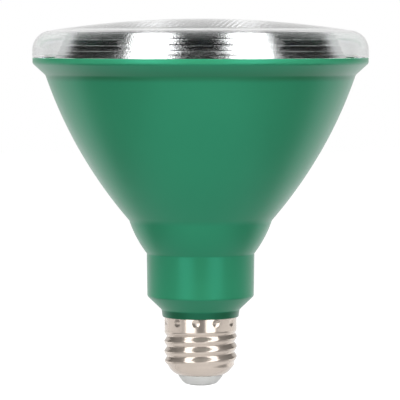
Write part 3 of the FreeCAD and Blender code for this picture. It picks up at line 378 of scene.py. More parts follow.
def shell_grid():
    """Points of the shell's wall over angle and place along its section.

    The radius is the bowl's quarter ellipse or the thread's root, plus half the thread's depth times
    1 + cos(turn of the height at the thread's pitch - angle), faded in over the bowl and out into the
    plain band. Each stake takes a round dent exp(-(distance / radius)^4) off it."""
    bowl_top = SHELL_EDGE_HEIGHT + SHELL_BOWL_HEIGHT
    thread_top = bowl_top + SHELL_THREAD_LENGTH
    shell_top = thread_top + SHELL_BAND_LENGTH
    tilt = np.linspace(SHELL_EDGE_TILT, 0, 14)[:-1]
    rise = np.linspace(bowl_top, shell_top, 110)
    across = (THREAD_ROOT - SHELL_EDGE_RADIUS) / (1 - math.cos(SHELL_EDGE_TILT))
    down = SHELL_BOWL_HEIGHT / math.sin(SHELL_EDGE_TILT)
    thread_foot = bowl_top - THREAD_PITCH
    walls = []
    for inset in (0, SHELL_WALL):
        base = np.concatenate([THREAD_ROOT - across + (across - inset) * np.cos(tilt),
                               np.full(rise.shape, THREAD_ROOT - inset)])[:, None]
        height = np.concatenate([bowl_top - (down - inset) * np.sin(tilt), rise])[:, None]
        angle = np.linspace(0, 2 * np.pi, SHELL_COLUMNS, endpoint=False)[None, :]
        turn = 2 * np.pi * (height - THREAD_START) / THREAD_PITCH - angle
        ridge = THREAD_DEPTH * (1 + np.cos(turn)) / 2
        threaded = base + ridge * eased(height, thread_foot, thread_foot + THREAD_RUN_OUT)
        into_band = eased(height, thread_top - THREAD_RUN_OUT, thread_top)
        radius = threaded + (SHELL_BAND_RADIUS - inset - threaded) * into_band
        step = 2 * np.pi / STAKE_COUNT
        off = (angle - STAKE_FIRST + step / 2) % step - step / 2
        away = np.hypot(off * SHELL_BAND_RADIUS, height - STAKE_HEIGHT) / STAKE_RADIUS
        radius = radius - STAKE_DEPTH * np.exp(-away ** 4) * (1 if inset == 0 else 0)
        grid = np.stack([radius * np.cos(angle), radius * np.sin(angle), height + 0 * angle], axis=-1) * MM
        walls.append(grid if inset == 0 else grid[::-1])
    return np.concatenate(walls)


def nickel_finish():
    """Warm bright nickel with slight clouding and a very fine drawn grain."""
    finish = Finish("nickel_plate", (0.60, 0.52, 0.455), 0.18, metal=0.7)
    cloud, grain = finish.marks(90, 2500)
    finish.blend(cloud, 0.14, 0.22, "Roughness")
    finish.blend(cloud, (0.575, 0.50, 0.435), (0.62, 0.54, 0.475), "Base Color")
    finish.relief(grain, 0.000004, 0.4)
    return finish.material


shell = piece_from_grid("threaded_shell", shell_grid(), crease=50)
stand_for(shell, "nickel", nickel_finish(), "screw_shell")


# Housing: one green moulding with a thin wall. A snug spigot inside the shell, a collar, a chamfered
# shoulder, a short neck, two bowl-shaped stretches and a rim under the lens.
HOUSING_WALL = 2.0
SPIGOT_FOOT = 12.15
SPIGOT_STEP = 20.95
SPIGOT_RADIUS = 11.85
SPIGOT_BAND_RADIUS = 12.6
SPIGOT_BORE = 10.25
COLLAR_FOOT = 24.55
COLLAR_FOOT_RADIUS = 13.7
COLLAR_RADIUS = 14.1
COLLAR_TOP = 27.2
NECK_FOOT = 32.1
NECK_FOOT_RADIUS = 19.2
NECK_TOP = 47.45
NECK_TOP_RADIUS = 19.4
BOWL_TOP = 59.35
BOWL_TOP_RADIUS = 25.7
BOWL_BOW = 40.1
CONE_TOP = 111.55
CONE_TOP_RADIUS = 55.625
CONE_BOW = 158.0
RIM_FOOT = 115.75
RIM_TOP = 117.75
RIM_RADIUS = 60.225
LENS_SEAT = 114.95
NECK_FLOOR_RISE = 0.9


def bowed_run(start, end, bow, count, inset=0.0):
    """Points of an arc that bows away from the axis between two points, set inwards by the inset.

    The arc's centre lies on the chord's normal, towards the axis, at the bow radius from both ends."""
    start, end = np.array(start, float), np.array(end, float)
    chord = end - start
    half = np.linalg.norm(chord) / 2
    across = np.array([chord[1], -chord[0]]) / (2 * half)
    centre = (start + end) / 2 - across * math.sqrt(bow ** 2 - half ** 2)
    first, last = (math.atan2(*(point - centre)[::-1]) for point in (start, end))
    angle = np.linspace(first, last, count)[:, None]
    return centre + (bow - inset) * np.concatenate([np.cos(angle), np.sin(angle)], axis=1)


def green_finish():
    """Green moulded plastic, satin, with slightly uneven gloss and a fine spark-eroded grain.

    It has painted shade on the collar and in the crease under the rim."""
    finish = Finish("green_moulding", (0.032, 0.262, 0.132), 0.31, Specular_Tint=(0.12, 1.0, 0.75, 1.0))
    cloud, grain = finish.marks(28, 2200)
    finish.blend(cloud, (0.0295, 0.233, 0.118), (0.0315, 0.249, 0.126), "Base Color")
    height = finish.axes()["Z"]
    # Painted shade: a height mask darkens the collar under the shoulder, standing in for the shade that
    # falls there.
    collar = finish.step(height, (COLLAR_TOP + 0.3) * MM, (COLLAR_TOP - 0.5) * MM)
    finish.tint(collar, (0.55, 0.45, 0.42), "Base Color")
    # Painted shade in the crease between the cone's top and the rim's chamfer: two height masks darken the
    # colour there.
    over_cone = finish.step(height, (CONE_TOP - 2.4) * MM, (CONE_TOP - 0.3) * MM)
    under_rim = finish.step(height, (RIM_FOOT + 0.4) * MM, (CONE_TOP - 0.1) * MM)
    finish.tint(finish.sum("MINIMUM", over_cone, under_rim), (0.85, 0.68, 0.62), "Base Color")
    finish.blend(cloud, 0.28, 0.34, "Roughness")
    finish.relief(grain, 0.000012, 0.35)
    return finish.material


neck_point = (NECK_TOP_RADIUS, NECK_TOP)
bowl_point = (BOWL_TOP_RADIUS, BOWL_TOP)
cone_point = (CONE_TOP_RADIUS, CONE_TOP)
outer_bowl = bowed_run(neck_point, bowl_point, BOWL_BOW, 14)
outer_cone = bowed_run(bowl_point, cone_point, CONE_BOW, 40)
inner_cone = bowed_run(bowl_point, cone_point, CONE_BOW, 40, HOUSING_WALL)[::-1]
inner_bowl = bowed_run(neck_point, bowl_point, BOWL_BOW, 14, HOUSING_WALL)[::-1]
housing_corners = [
    (SPIGOT_BORE, SPIGOT_FOOT), (SPIGOT_RADIUS, SPIGOT_FOOT), (SPIGOT_RADIUS, SPIGOT_STEP),
    (SPIGOT_BAND_RADIUS, SPIGOT_STEP), (SPIGOT_BAND_RADIUS, COLLAR_FOOT), (COLLAR_FOOT_RADIUS, COLLAR_FOOT),
    (COLLAR_RADIUS, COLLAR_TOP), (NECK_FOOT_RADIUS, NECK_FOOT), *outer_bowl.tolist(),
    *outer_cone[1:].tolist(), (RIM_RADIUS, RIM_FOOT), (RIM_RADIUS, RIM_TOP),
    (RIM_RADIUS - HOUSING_WALL, RIM_TOP), (RIM_RADIUS - HOUSING_WALL, LENS_SEAT), *inner_cone[1:].tolist(),
    *inner_bowl[1:].tolist(), (NECK_FOOT_RADIUS - HOUSING_WALL, NECK_FOOT + NECK_FLOOR_RISE),
    (SPIGOT_BORE, COLLAR_FOOT + HOUSING_WALL)]
# How far each softened corner reaches: the collar's two and the neck's two, then the cone's top, the
# rim's foot and the rim's two upper edges
housing_reach = np.zeros(len(housing_corners))
collar_at, neck_at, cone_at = 5, 7, 7 + len(outer_bowl) + len(outer_cone) - 1
housing_reach[[collar_at, collar_at + 1, neck_at, neck_at + 1]] = 0.35, 0.3, 0.5, 0.3
housing_reach[[cone_at, cone_at + 1, cone_at + 2, cone_at + 3]] = 0.55, 0.6, 0.15, 0.15
housing_grid = turned_grid(turned_profile(housing_corners, housing_reach), 256)
housing = piece_from_grid("green_housing", housing_grid, crease=30)
stand_for(housing, "green_plastic", green_finish(), "housing")


# Driver: a small mains supply on a laminate board that stands on its edge in the housing. Its parts are
# dipped, moulded or sleeved. Insulated wires run to the shell and the contact, and two to the lamp board.
def dress(material, *names):
    """Puts a material into the slot of these solids of the frame."""
    for name in names:
        nodes[name].material_slots[0].material = material


def clouded(name, low, high, rough, relief, cloud_scale, grain_scale, metal=0.0, **sockets):
    """Plain moulding, coating or metal: colour between two tones, uneven gloss and a fine grain."""
    finish = Finish(name, low, rough, metal=metal, **sockets)
    cloud, grain = finish.marks(cloud_scale, grain_scale)
    finish.blend(cloud, low, high, "Base Color")
    finish.blend(grain, rough * 0.85, rough * 1.15, "Roughness")
    finish.relief(grain, relief * MM, 0.5)
    return finish.material


def banded(name, low, high, rough, axis, pitch, relief, metal=0.0, **sockets):
    """Wound or wrapped surface: even bands of this pitch in millimetres along one axis."""
    finish = Finish(name, low, rough, metal=metal, **sockets)
    bands = finish.bands(axis, pitch, Distortion=0.4, Detail=2.0)
    finish.blend(bands, low, high, "Base Color")
    finish.relief(bands, relief * MM, 0.8)
    return finish.material


LAMINATE_THREAD = 0.6


def laminate_finish():
    """Glass laminate under a green mask: two crossed sets of threads show through it."""
    finish = Finish("driver_laminate", (0.03, 0.16, 0.06), 0.4)
    weave = finish.product(*(finish.bands(axis, LAMINATE_THREAD) for axis in ("X", "Z")))
    finish.blend(weave, (0.03, 0.15, 0.05), (0.05, 0.20, 0.08), "Base Color")
    finish.relief(weave, 0.00001, 0.4)
    return finish.material


def wire_finish(name, colour):
    """Glossy wire insulation with slight clouding and a soft waviness along the wire."""
    lighter = tuple(part * 1.15 + 0.01 for part in colour)
    return clouded(name, colour, lighter, 0.3, 0.01, 180, 900, Coat_Weight=0.2)


dress(laminate_finish(), "driver_board")
dress(clouded("yellow_film_box", (0.72, 0.50, 0.06), (0.80, 0.58, 0.09), 0.3, 0.01, 160, 1400),
      "film_capacitor")
dress(banded("printed_can_sleeve", (0.012, 0.022, 0.05), (0.02, 0.035, 0.075), 0.28, "Z", 1.1, 0.004),
      "bulk_capacitor", "output_capacitor")
dress(clouded("blue_dip", (0.03, 0.12, 0.42), (0.05, 0.17, 0.50), 0.35, 0.04, 200, 700), "varistor")
dress(banded("green_enamel", (0.10, 0.26, 0.10), (0.16, 0.36, 0.14), 0.38, "Z", 1.6, 0.01),
      "fusible_resistor")
dress(clouded("pressed_ferrite", (0.045, 0.043, 0.042), (0.075, 0.072, 0.07), 0.6, 0.02, 300, 2400),
      "choke_core", "transformer_core")
dress(banded("enamelled_copper", (0.62, 0.26, 0.12), (0.86, 0.44, 0.24), 0.3, "Y", 0.28, 0.03, metal=0.9),
      "choke_winding")
dress(banded("winding_tape", (0.70, 0.52, 0.08), (0.80, 0.62, 0.14), 0.32, "Y", 2.4, 0.02, Coat_Weight=0.3),
      "transformer_winding")
dress(clouded("bobbin_moulding", (0.03, 0.03, 0.03), (0.05, 0.05, 0.048), 0.45, 0.01, 140, 1600),
      "transformer_bobbin")
dress(clouded("chip_moulding", (0.022, 0.022, 0.023), (0.04, 0.04, 0.041), 0.55, 0.012, 400, 3500),
      "bridge_rectifier", "driver_chip", "output_diode")
dress(wire_finish("red_wire", (0.55, 0.03, 0.025)), "led_wire_red")
dress(wire_finish("black_wire", (0.02, 0.02, 0.021)), "led_wire_black", "live_wire")
dress(wire_finish("white_wire", (0.72, 0.72, 0.69)), "neutral_wire")


# Heat sink: a cup pressed and drawn from aluminium sheet, which stands on the housing's three pillars.
# The thermal pad lies on its plate, and a black grommet lines the hole for the lamp board's wires.
def drawn_aluminium():
    """Satin sheet with fine lines along the draw: noise stretched twenty times along the axis."""
    finish = Finish("drawn_aluminium", (0.70, 0.71, 0.72), 0.36, metal=0.95)
    cloud, _ = finish.marks(50, 1500)
    lines = finish.node("TexNoise", Scale=1.0, Detail=3.0)
    finish.link(finish.place((2400, 2400, 120)), lines.inputs["Vector"])
    finish.blend(cloud, (0.66, 0.67, 0.68), (0.76, 0.77, 0.78), "Base Color")
    finish.blend(lines.outputs["Fac"], 0.28, 0.44, "Roughness")
    finish.relief(lines.outputs["Fac"], 0.00001, 0.4)
    return finish.material


dress(drawn_aluminium(), "heat_sink")
dress(clouded("gap_pad", (0.40, 0.42, 0.46), (0.47, 0.49, 0.53), 0.75, 0.02, 130, 900), "thermal_pad")
dress(clouded("grommet_rubber", (0.018, 0.018, 0.019), (0.032, 0.032, 0.033), 0.6, 0.01, 250, 2600),
      "wire_grommet")


# Lamp board: white mask on an aluminium core, with twelve small lamps in two rings and three steel
# screws. Two tinned pads show beside each lamp, and the two wires end in domes of solder.
LAMP_BOARD_TOP = 82.45
LAMP_DOME_FOOT = 83.17
PAD_SIDE = 0.35
PAD_LENGTH = 2.2
PAD_RISE = 0.04
JOINT_RADIUS = 1.05
JOINT_HEIGHT = 0.75


def mask_finish():
    """White solder mask over wide copper fields, whose gaps show as slightly darker lines."""
    finish = Finish("white_solder_mask", (0.80, 0.80, 0.78), 0.35)
    cells = finish.node("TexVoronoi", Scale=150.0)
    cells.feature = "DISTANCE_TO_EDGE"
    finish.link(finish.place((1, 1, 0.02)), cells.inputs["Vector"])
    gap = finish.sum("LESS_THAN", cells.outputs["Distance"], 0.03)
    finish.blend(gap, (0.80, 0.80, 0.78), (0.70, 0.70, 0.67), "Base Color")
    _, grain = finish.marks(60, 2600)
    finish.relief(grain, 0.000006, 0.5)
    return finish.material


def lamp_finish():
    """White package below and a clear greenish dome above, split by height over the board."""
    finish = Finish("lamp_package", (0.80, 0.82, 0.76), 0.3, Coat_Weight=0.6)
    dome = finish.sum("GREATER_THAN", finish.axes()["Z"], LAMP_DOME_FOOT * MM)
    cloud, grain = finish.marks(500, 3000)
    tone = finish.sum("ADD", finish.product(dome, 0.8), finish.product(cloud, 0.2))
    finish.blend(tone, (0.80, 0.82, 0.76), (0.30, 0.52, 0.16), "Base Color")
    finish.blend(dome, 0.45, 0.08, "Roughness")
    finish.relief(grain, 0.000004, 0.3)
    return finish.material


lamp_names = [name for name in nodes if name.startswith("led_") and name[4:].isdigit()]
lamp_corners = np.array([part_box(name) for name in lamp_names])
lamp_middles = lamp_corners.mean(axis=1)[:, :2]
lamp_across = (lamp_corners[:, 1, 0] - lamp_corners[:, 0, 0]).max()
pad_square = np.array([[-1, -1], [1, -1], [1, 1], [-1, 1]]) * [PAD_SIDE / 2, PAD_LENGTH / 2] * MM
pad_out = lamp_across / 2 + PAD_SIDE * MM / 2
pad_spots = np.concatenate([lamp_middles + [side * pad_out, 0] for side in (-1, 1)])
pad_base = (pad_spots[:, None, :] + pad_square).reshape(-1, 1, 2)
pad_levels = np.array([[[LAMP_BOARD_TOP], [LAMP_BOARD_TOP + PAD_RISE]]]) * MM
pad_levels = np.tile(pad_levels, (len(pad_base), 1, 1))
pad_points = np.concatenate([np.repeat(pad_base, 2, axis=1), pad_levels], axis=2).reshape(-1, 3)
box_faces = [[1, 3, 5, 7], [6, 4, 2, 0], [0, 2, 3, 1], [2, 4, 5, 3], [4, 6, 7, 5], [6, 0, 1, 7]]
pad_faces = (np.arange(len(pad_spots)) * 8)[:, None, None] + np.array(box_faces)
pad_mesh = bpy.data.meshes.new("lamp_pads")
pad_mesh.from_pydata(pad_points.tolist(), [], pad_faces.reshape(-1, 4).tolist())
lamp_pads = link_piece("lamp_pads", pad_mesh)
tin = clouded("tin_solder", (0.62, 0.62, 0.61), (0.74, 0.74, 0.73), 0.24, 0.01, 500, 1800, metal=1.0)
stand_for(lamp_pads, "steel", tin)


def solder_joint(name, wire):
    """Dome of solder over a wire's end on the lamp board: a turned arc r = R cos t, h = H sin t."""
    ends = np.array(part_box(wire)) / MM
    out = ends[np.argmax(np.abs(ends[:, 0])), 0]
    middle = [out - math.copysign(JOINT_RADIUS * 0.35, out), ends[:, 1].mean()]
    t = np.linspace(0, math.pi / 2, 10)
    arc = np.stack([JOINT_RADIUS * np.cos(t), LAMP_BOARD_TOP + JOINT_HEIGHT * np.sin(t)], axis=1)
    grid = turned_grid(np.concatenate([arc, [[0, LAMP_BOARD_TOP]]]) * MM, 32)
    grid[..., :2] += np.array(middle) * MM
    joint = piece_from_grid(name, grid, crease=60)
    stand_for(joint, "steel", tin)


solder_joint("red_wire_joint", "led_wire_red")
solder_joint("black_wire_joint", "led_wire_black")
dress(mask_finish(), "led_board")
dress(lamp_finish(), *lamp_names)
dress(clouded("plated_steel", (0.52, 0.53, 0.54), (0.66, 0.67, 0.68), 0.26, 0.006, 300, 2600, metal=1.0),
      "board_screws")


# Reflector: one thin moulding with a bright coating. Its bowl throws the light out, and its outer skirt,
# in low steps, is the silver band that shows through the lens's wall.
REFLECTOR_WALL = 1.3
THROAT_RADIUS = 20.0
LIP_RADIUS = 48.625
LIP_WIDTH = 2.0
LIP_HEIGHT = 126.75
SKIRT_FOOT_RADIUS = 53.625
SKIRT_STEPS = 6
SKIRT_STEP_WIDTH = 0.6
SKIRT_STEP_RATIO = 0.85
SKIRT_BEAD = 0.15
BEAD_WIDTH = 0.3
REFLECTOR_FOOT_TOP = 115.95
REFLECTOR_FOOT_RADIUS = 58.07
THROAT_HEIGHT = 82.4
WORN_TOP = 122.8
WORN_FULL = 120.5


def mirror_finish():
    """Bright vacuum coating with the mould's fine ripple, duller down in the bowl and low on the skirt."""
    finish = Finish("mirror_coating", (0.88, 0.885, 0.89), 0.05, metal=1.0)
    ripple = finish.node("TexNoise", Scale=1.0, Detail=3.0)
    finish.link(finish.place((1700, 1700, 2900)), ripple.inputs["Vector"])
    worn = finish.step(finish.axes()["Z"], WORN_TOP * MM, WORN_FULL * MM)
    finish.blend(finish.product(worn, ripple.outputs["Fac"]), 0.04, 0.25, "Roughness")
    finish.relief(ripple.outputs["Fac"], 0.00007, 1.0)
    return finish.material


def skirt_run(points=26):
    """Points down the skirt: each step leans out, ends in a low round bead and a ledge.

    The bead adds its height times exp(-(distance / width)^2) to the step's radius, and every second bead is
    taller. Each step is lower than the one above it by the fixed ratio."""
    height = LIP_HEIGHT - REFLECTOR_FOOT_TOP
    lean = (SKIRT_FOOT_RADIUS - LIP_RADIUS - SKIRT_STEP_WIDTH * SKIRT_STEPS) / height
    drops = SKIRT_STEP_RATIO ** np.arange(SKIRT_STEPS)
    drops = np.concatenate([[0], np.cumsum(drops / drops.sum() * height)])
    share = np.linspace(0, 1, points)[None, :]
    step = np.arange(SKIRT_STEPS)[:, None]
    down = drops[:-1, None] + (drops[1:, None] - drops[:-1, None]) * share
    off = (drops[1:, None] - BEAD_WIDTH - down) / BEAD_WIDTH
    bead = SKIRT_BEAD * (1 + step % 2) / 2 * np.exp(-off ** 2)
    radius = LIP_RADIUS + SKIRT_STEP_WIDTH * step + down * lean + bead
    return np.stack([radius, LIP_HEIGHT - down], axis=-1).reshape(-1, 2)


level = np.linspace(THROAT_HEIGHT, LIP_HEIGHT, 40)
rate = ((LIP_RADIUS - LIP_WIDTH) ** 2 - THROAT_RADIUS ** 2) / (LIP_HEIGHT - THROAT_HEIGHT)
bowl_inside = np.stack([np.sqrt(THROAT_RADIUS ** 2 + rate * (level - THROAT_HEIGHT)), level], axis=1)
bowl_outside = (bowl_inside + [REFLECTOR_WALL, 0])[:-2][::-1]
reflector_corners = np.concatenate([
    bowl_inside, skirt_run(),
    [[REFLECTOR_FOOT_RADIUS, REFLECTOR_FOOT_TOP], [REFLECTOR_FOOT_RADIUS, LENS_SEAT],
     [SKIRT_FOOT_RADIUS - SKIRT_STEP_WIDTH - REFLECTOR_WALL, LENS_SEAT],
     [LIP_RADIUS - REFLECTOR_WALL, LIP_HEIGHT - REFLECTOR_WALL]], bowl_outside])
reflector = piece_from_grid("mirror_reflector", turned_grid(reflector_corners * MM, 256), crease=30)
stand_for(reflector, "mirror_coating", mirror_finish(), "reflector")


# Lens seal: a pale soft ring that the lens's tongue presses on the reflector's foot.
SEAL_FOOT = 115.95
SEAL_TOP = 116.75
SEAL_BORE = 56.575
SEAL_RADIUS = 58.075


def silicone_finish():
    """Pale translucent silicone."""
    finish = Finish("pale_silicone", (0.72, 0.73, 0.72), 0.5, Subsurface_Weight=0.2)
    cloud, grain = finish.marks(150, 1500)
    finish.blend(cloud, (0.70, 0.71, 0.70), (0.76, 0.77, 0.76), "Base Color")
    finish.relief(grain, 0.00001, 0.3)
    return finish.material


seal_corners = [(SEAL_BORE, SEAL_FOOT), (SEAL_RADIUS, SEAL_FOOT), (SEAL_RADIUS, SEAL_TOP),
                (SEAL_BORE, SEAL_TOP)]
seal = piece_from_grid("seal_ring", turned_grid(turned_profile(seal_corners, 0.2), 192))
stand_for(seal, "silicone", silicone_finish(), "lens_seal")


# Front lens: one clear moulding, smooth outside, whose domed face turns down over a round shoulder into a
# skirt that stands on the rim. Straight ribs run across the inside of the face, turned a little from the
# line of sight. The wall is drawn thinner than a real one, so that the band behind it shows in its place.
LENS_RADIUS = 60.325
LENS_DOME = 348.0
LENS_SHOULDER = 7.0
LENS_SKIRT_TOP = 120.55
LENS_WALL = 0.5
LENS_FOOT_TOP = 118.65
LENS_FOOT_SLOPE = 0.2
LENS_EDGE_CUT = 0.15
TONGUE_RADIUS = 58.075
TONGUE_BORE = 56.575
TONGUE_FOOT = 116.75
RIB_FIELD = 47.5
RIB_GAP = 0.5
RIB_COUNT = 51
RIB_STEPS = 8
RIB_ROWS = 49
RIB_TURN = math.radians(7)
RIB_DEPTH = 0.12
RIB_RIPPLE = 0.036
CLEAR_INDEX = 1.25


def lens_side(inset, dome_points, shoulder_points):
    """Points from the skirt's top over the shoulder to the middle of the dome, set inwards by the inset.

    The shoulder is an arc about a centre inside the edge, and the dome a wide arc that it is tangent to."""
    centre = np.array([LENS_RADIUS - LENS_SHOULDER, LENS_SKIRT_TOP])
    reach = LENS_DOME - LENS_SHOULDER
    dome_centre = np.array([0, LENS_SKIRT_TOP - math.sqrt(reach ** 2 - centre[0] ** 2)])
    lean = math.asin(centre[0] / reach)
    shoulder = np.linspace(math.pi / 2, lean, shoulder_points)[:, None]
    dome = np.linspace(lean, 0, dome_points)[1:, None]
    return np.concatenate([
        centre + (LENS_SHOULDER - inset) * np.concatenate([np.sin(shoulder), np.cos(shoulder)], axis=1),
        dome_centre + (LENS_DOME - inset) * np.concatenate([np.sin(dome), np.cos(dome)], axis=1)])


def ribbed_sheet():
    """The ribbed middle of the inner dome, as a grid of chords of the field's circle.

    Across the ribs x' runs over the field's width, and along them y' = t sqrt(R^2 - x'^2). The sheet lies on
    the inner dome, moved in by H |sin(pi x' / pitch)|, which falls to nothing at the field's edge."""
    across = np.linspace(-RIB_FIELD, RIB_FIELD, RIB_COUNT * RIB_STEPS + 1)[:, None]
    along = np.linspace(-1, 1, RIB_ROWS)[None, :] * np.sqrt(RIB_FIELD ** 2 - across ** 2)
    out = np.hypot(across, along)
    rib = np.abs(np.sin(np.pi * RIB_COUNT * (across + RIB_FIELD) / (2 * RIB_FIELD)))
    rib = RIB_DEPTH * rib * np.clip((RIB_FIELD - out) / RIB_GAP, 0, 1)
    height = dome_middle + np.sqrt((inner_dome - rib) ** 2 - out ** 2)
    cos, sin = math.cos(RIB_TURN), math.sin(RIB_TURN)
    return np.stack([across * cos + along * sin, along * cos - across * sin, height], axis=-1) * MM


def lens_finish():
    """Clear plastic: a fine ripple crosses the ribs, and the rest is plain.

    Its refractive index is lower than a real lens's, which keeps the lamps' reflections on it faint."""
    finish = Finish("clear_lens", (0.93, 0.935, 0.935), 0.0, Transmission_Weight=1.0, IOR=CLEAR_INDEX)
    wave = finish.bands("X", 2 * RIB_FIELD / RIB_COUNT, RIB_TURN + math.pi / 2)
    field = finish.node("Attribute")
    field.attribute_name = "rib_field"
    finish.relief(finish.product(finish.sum("POWER", wave, 0.5), field.outputs["Fac"]), RIB_RIPPLE * MM)
    return finish.material


inner_dome = LENS_DOME - LENS_WALL
shoulder_at = LENS_RADIUS - LENS_SHOULDER
dome_middle = LENS_SKIRT_TOP - math.sqrt((LENS_DOME - LENS_SHOULDER) ** 2 - shoulder_at ** 2)
inner_side = lens_side(LENS_WALL, 40, 16)[::-1]
inner_side = inner_side[inner_side[:, 0] > RIB_FIELD + RIB_GAP]
lens_foot = [[LENS_RADIUS - LENS_WALL, LENS_FOOT_TOP + LENS_FOOT_SLOPE], [TONGUE_BORE, LENS_FOOT_TOP],
             [TONGUE_BORE, TONGUE_FOOT], [TONGUE_RADIUS, TONGUE_FOOT], [TONGUE_RADIUS, RIM_TOP],
             [LENS_RADIUS - LENS_EDGE_CUT, RIM_TOP], [LENS_RADIUS, RIM_TOP + LENS_EDGE_CUT]]
cap = turned_grid(np.concatenate([inner_side, lens_foot, lens_side(0, 40, 24)]) * MM, 256)
sheet = ribbed_sheet()
cap_points, sheet_points = cap.reshape(-1, 3), sheet.reshape(-1, 3)
lens = piece_from_faces("clear_lens_cap", np.concatenate([cap_points, sheet_points]), np.concatenate([
    grid_faces(*cap.shape[:2], closed=False),
    grid_faces(*sheet.shape[:2], first=len(cap_points), closed=False, wrapped=False)]), 40, bridged=True)

# The ripple's mask: one on the ribbed sheet and nought on the rest of the lens
points = np.empty(len(lens.data.vertices) * 3)
lens.data.vertices.foreach_get("co", points)
points = points.reshape(-1, 3)
from_middle = np.linalg.norm(points / MM - [0, 0, dome_middle], axis=1)
inside = (from_middle < inner_dome + 0.1) & (np.hypot(points[:, 0], points[:, 1]) < RIB_FIELD * MM)
inside &= points[:, 2] > LENS_SKIRT_TOP * MM
rib_field = lens.data.attributes.new("rib_field", "FLOAT", "POINT")
rib_field.data.foreach_set("value", inside.astype(np.float32))
stand_for(lens, "clear_plastic", lens_finish(), "front_lens")
# Without a shadow the lamps' light reaches the bowl and the board behind the lens
lens.visible_shadow = False


# Floor, backdrop and studio light. The lamp hangs over a white floor. Two tall soft boxes lean at the
# front left and right and show in the silver band. One over the lamp and one behind it only give light.
# Reflections see a dark room with a pale back wall, floor and ceiling, and a dark flag on either side.
FLOOR_DROP = 0.16
FLOOR_SIDE = 6.0
FLOOR_FRONT = 1.3
FLOOR_GREY = 0.18
FLOOR_GLOW = 1.0
FLOOR_SHEEN = 0.8
SHEEN_REAR = 0.32
SHEEN_SIDE = (0.15, 0.3)
SHEEN_DEPTH = (0.25, 0.02)
SHEEN_END = (0.9, 1.2)
SHEEN_FRONT = (-0.6, -0.8)
BOX_AZIMUTH = math.radians(46.8)
BOX_LEAN = math.radians(20)
BOX_DISTANCE = 1.0
BOX_SIZE = (0.56, 2.2)
BOX_MIDDLE = 0.75
BOX_POWER = 13.3
RIGHT_SHARE = 0.95
TOP_PLACE = (0, -0.45, 1.2)
TOP_SIZE = (1.2, 0.3)
TOP_POWER = 23.0
BACK_PLACE = (0, 1.2, 0.8)
BACK_SIZE = (1.2, 1.2)
BACK_POWER = 10.0
LAMP_MIDDLE = (0, 0, 0.1)

floor_mesh = bpy.data.meshes.new("floor")
floor_mesh.from_pydata([(-FLOOR_SIDE, -FLOOR_FRONT, -FLOOR_DROP), (FLOOR_SIDE, -FLOOR_FRONT, -FLOOR_DROP),
                        (FLOOR_SIDE, FLOOR_SIDE, -FLOOR_DROP), (-FLOOR_SIDE, FLOOR_SIDE, -FLOOR_DROP)],
                       [], [(0, 1, 2, 3)])
floor = link_piece("floor", floor_mesh)


def floor_finish():
    """White to the camera and through the lens. In reflections it glows, with dark patches.

    The patches lie in front of the lamp to both sides, and in the middle near the camera. Behind the lamp
    the floor glows more at the sides."""
    finish = Finish("white_floor", (FLOOR_GREY,) * 3, 0.9, Emission_Color=(1, 1, 1, 1))
    path = finish.node("LightPath").outputs
    seen = finish.sum("MAXIMUM", path["Is Camera Ray"], path["Is Transmission Ray"])
    spot = finish.axes()
    sideways = finish.sum("ABSOLUTE", spot["X"])
    aside = finish.step(sideways, *SHEEN_SIDE)
    beside = finish.product(aside, finish.step(spot["Y"], *SHEEN_DEPTH),
                            finish.rest(finish.step(sideways, *SHEEN_END)))
    front = finish.product(finish.step(spot["Y"], *SHEEN_FRONT), finish.rest(aside))
    bright = finish.rest(finish.sum("MAXIMUM", beside, front))
    sheen = finish.sum("ADD", finish.product(bright, FLOOR_SHEEN), finish.product(aside, bright, SHEEN_REAR))
    mirrored = finish.product(path["Is Glossy Ray"], sheen)
    glow = finish.sum("MAXIMUM", finish.product(seen, FLOOR_GLOW), mirrored)
    finish.link(glow, finish.shader.inputs["Emission Strength"])
    return finish.material


floor.data.materials.append(floor_finish())


def area_lamp(name, place, target, size, power):
    """Rectangular soft lamp that faces its target."""
    data = bpy.data.lights.new(name, "AREA")
    data.shape = "RECTANGLE"
    data.size, data.size_y = size
    data.energy = power
    lamp = bpy.data.objects.new(name, data)
    lamp.location = place
    look(lamp, target)
    bpy.context.scene.collection.objects.link(lamp)
    return lamp


def tall_box(name, azimuth, power):
    """Tall lamp at this angle from the camera's side, leaning over."""
    place = (BOX_DISTANCE * math.sin(azimuth), -BOX_DISTANCE * math.cos(azimuth), BOX_MIDDLE)
    lamp = area_lamp(name, place, (0, 0, BOX_MIDDLE), BOX_SIZE, power)
    lamp.rotation_euler[1] = math.copysign(BOX_LEAN, azimuth)


def hidden_box(name, place, size, power):
    """Lamp that gives light but shows in no reflection and through no glass."""
    lamp = area_lamp(name, place, LAMP_MIDDLE, size, power)
    lamp.visible_glossy = False
    lamp.visible_transmission = False


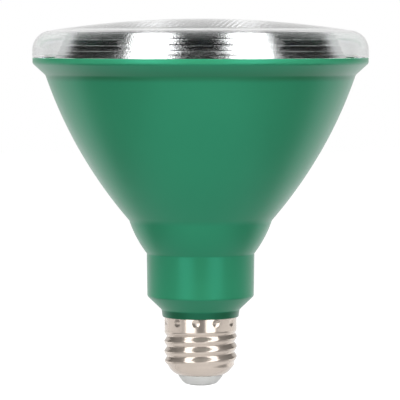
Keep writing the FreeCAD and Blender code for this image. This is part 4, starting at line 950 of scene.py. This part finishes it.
tall_box("left_soft_box", -BOX_AZIMUTH, BOX_POWER)
tall_box("right_soft_box", BOX_AZIMUTH, BOX_POWER * RIGHT_SHARE)
hidden_box("top_soft_box", TOP_PLACE, TOP_SIZE, TOP_POWER)
hidden_box("back_soft_box", BACK_PLACE, BACK_SIZE, BACK_POWER)

# The room that reflections see. Each edge is a pair of values of one part of the ray's direction, between
# which the room goes from one tone to the other.
ROOM_DARK = 0.012
ROOM_BACK = 0.9
ROOM_BACK_SIDES = 0.84
ROOM_LOW = 0.8
ROOM_CEILING = 0.5
ROOM_FILL = 0.04
BACK_EDGE = (0.55, 0.80)
BACK_TOP = (0.62, 0.46)
BACK_FADE = (0.12, 0.4)
LOW_EDGE = (-0.06, -0.01)
LOW_NEAR = (-0.96, -0.88)
FLAG_INNER = (0.74, 0.79)
FLAG_OUTER = (0.91, 0.87)
CEILING_EDGE = (0.86, 0.96)

world = bpy.data.worlds.new("studio")
bpy.context.scene.world = world
world.use_nodes = True
studio = Nodes(world.node_tree)
ray = studio.axes("Generated")
sideways = studio.sum("ABSOLUTE", ray["X"])
behind = studio.product(
    studio.step(ray["Y"], *BACK_EDGE, above=ROOM_BACK), studio.step(ray["Z"], *BACK_TOP),
    studio.step(sideways, *BACK_FADE, below=1.0, above=ROOM_BACK_SIDES))
flag = studio.sum("MINIMUM", studio.step(sideways, *FLAG_INNER), studio.step(sideways, *FLAG_OUTER))
low_down = studio.product(studio.step(ray["Z"], *LOW_EDGE, below=ROOM_LOW, above=0.0), studio.rest(flag),
                          studio.step(ray["Y"], *LOW_NEAR))
ceiling = studio.step(ray["Z"], *CEILING_EDGE, below=ROOM_DARK, above=ROOM_CEILING)
room = studio.sum("MAXIMUM", studio.sum("MAXIMUM", behind, low_down), ceiling)
rays = studio.node("LightPath").outputs
shaped = studio.sum("MAXIMUM", rays["Is Glossy Ray"], rays["Is Transmission Ray"])
lit = studio.sum("ADD", studio.product(room, shaped), studio.product(studio.rest(shaped), ROOM_FILL))
background = world.node_tree.nodes["Background"]
studio.link(studio.sum("MAXIMUM", lit, rays["Is Camera Ray"]), background.inputs["Strength"])
background.inputs["Color"].default_value = (1, 1, 1, 1)
bpy.context.scene.view_settings.view_transform = "Standard"
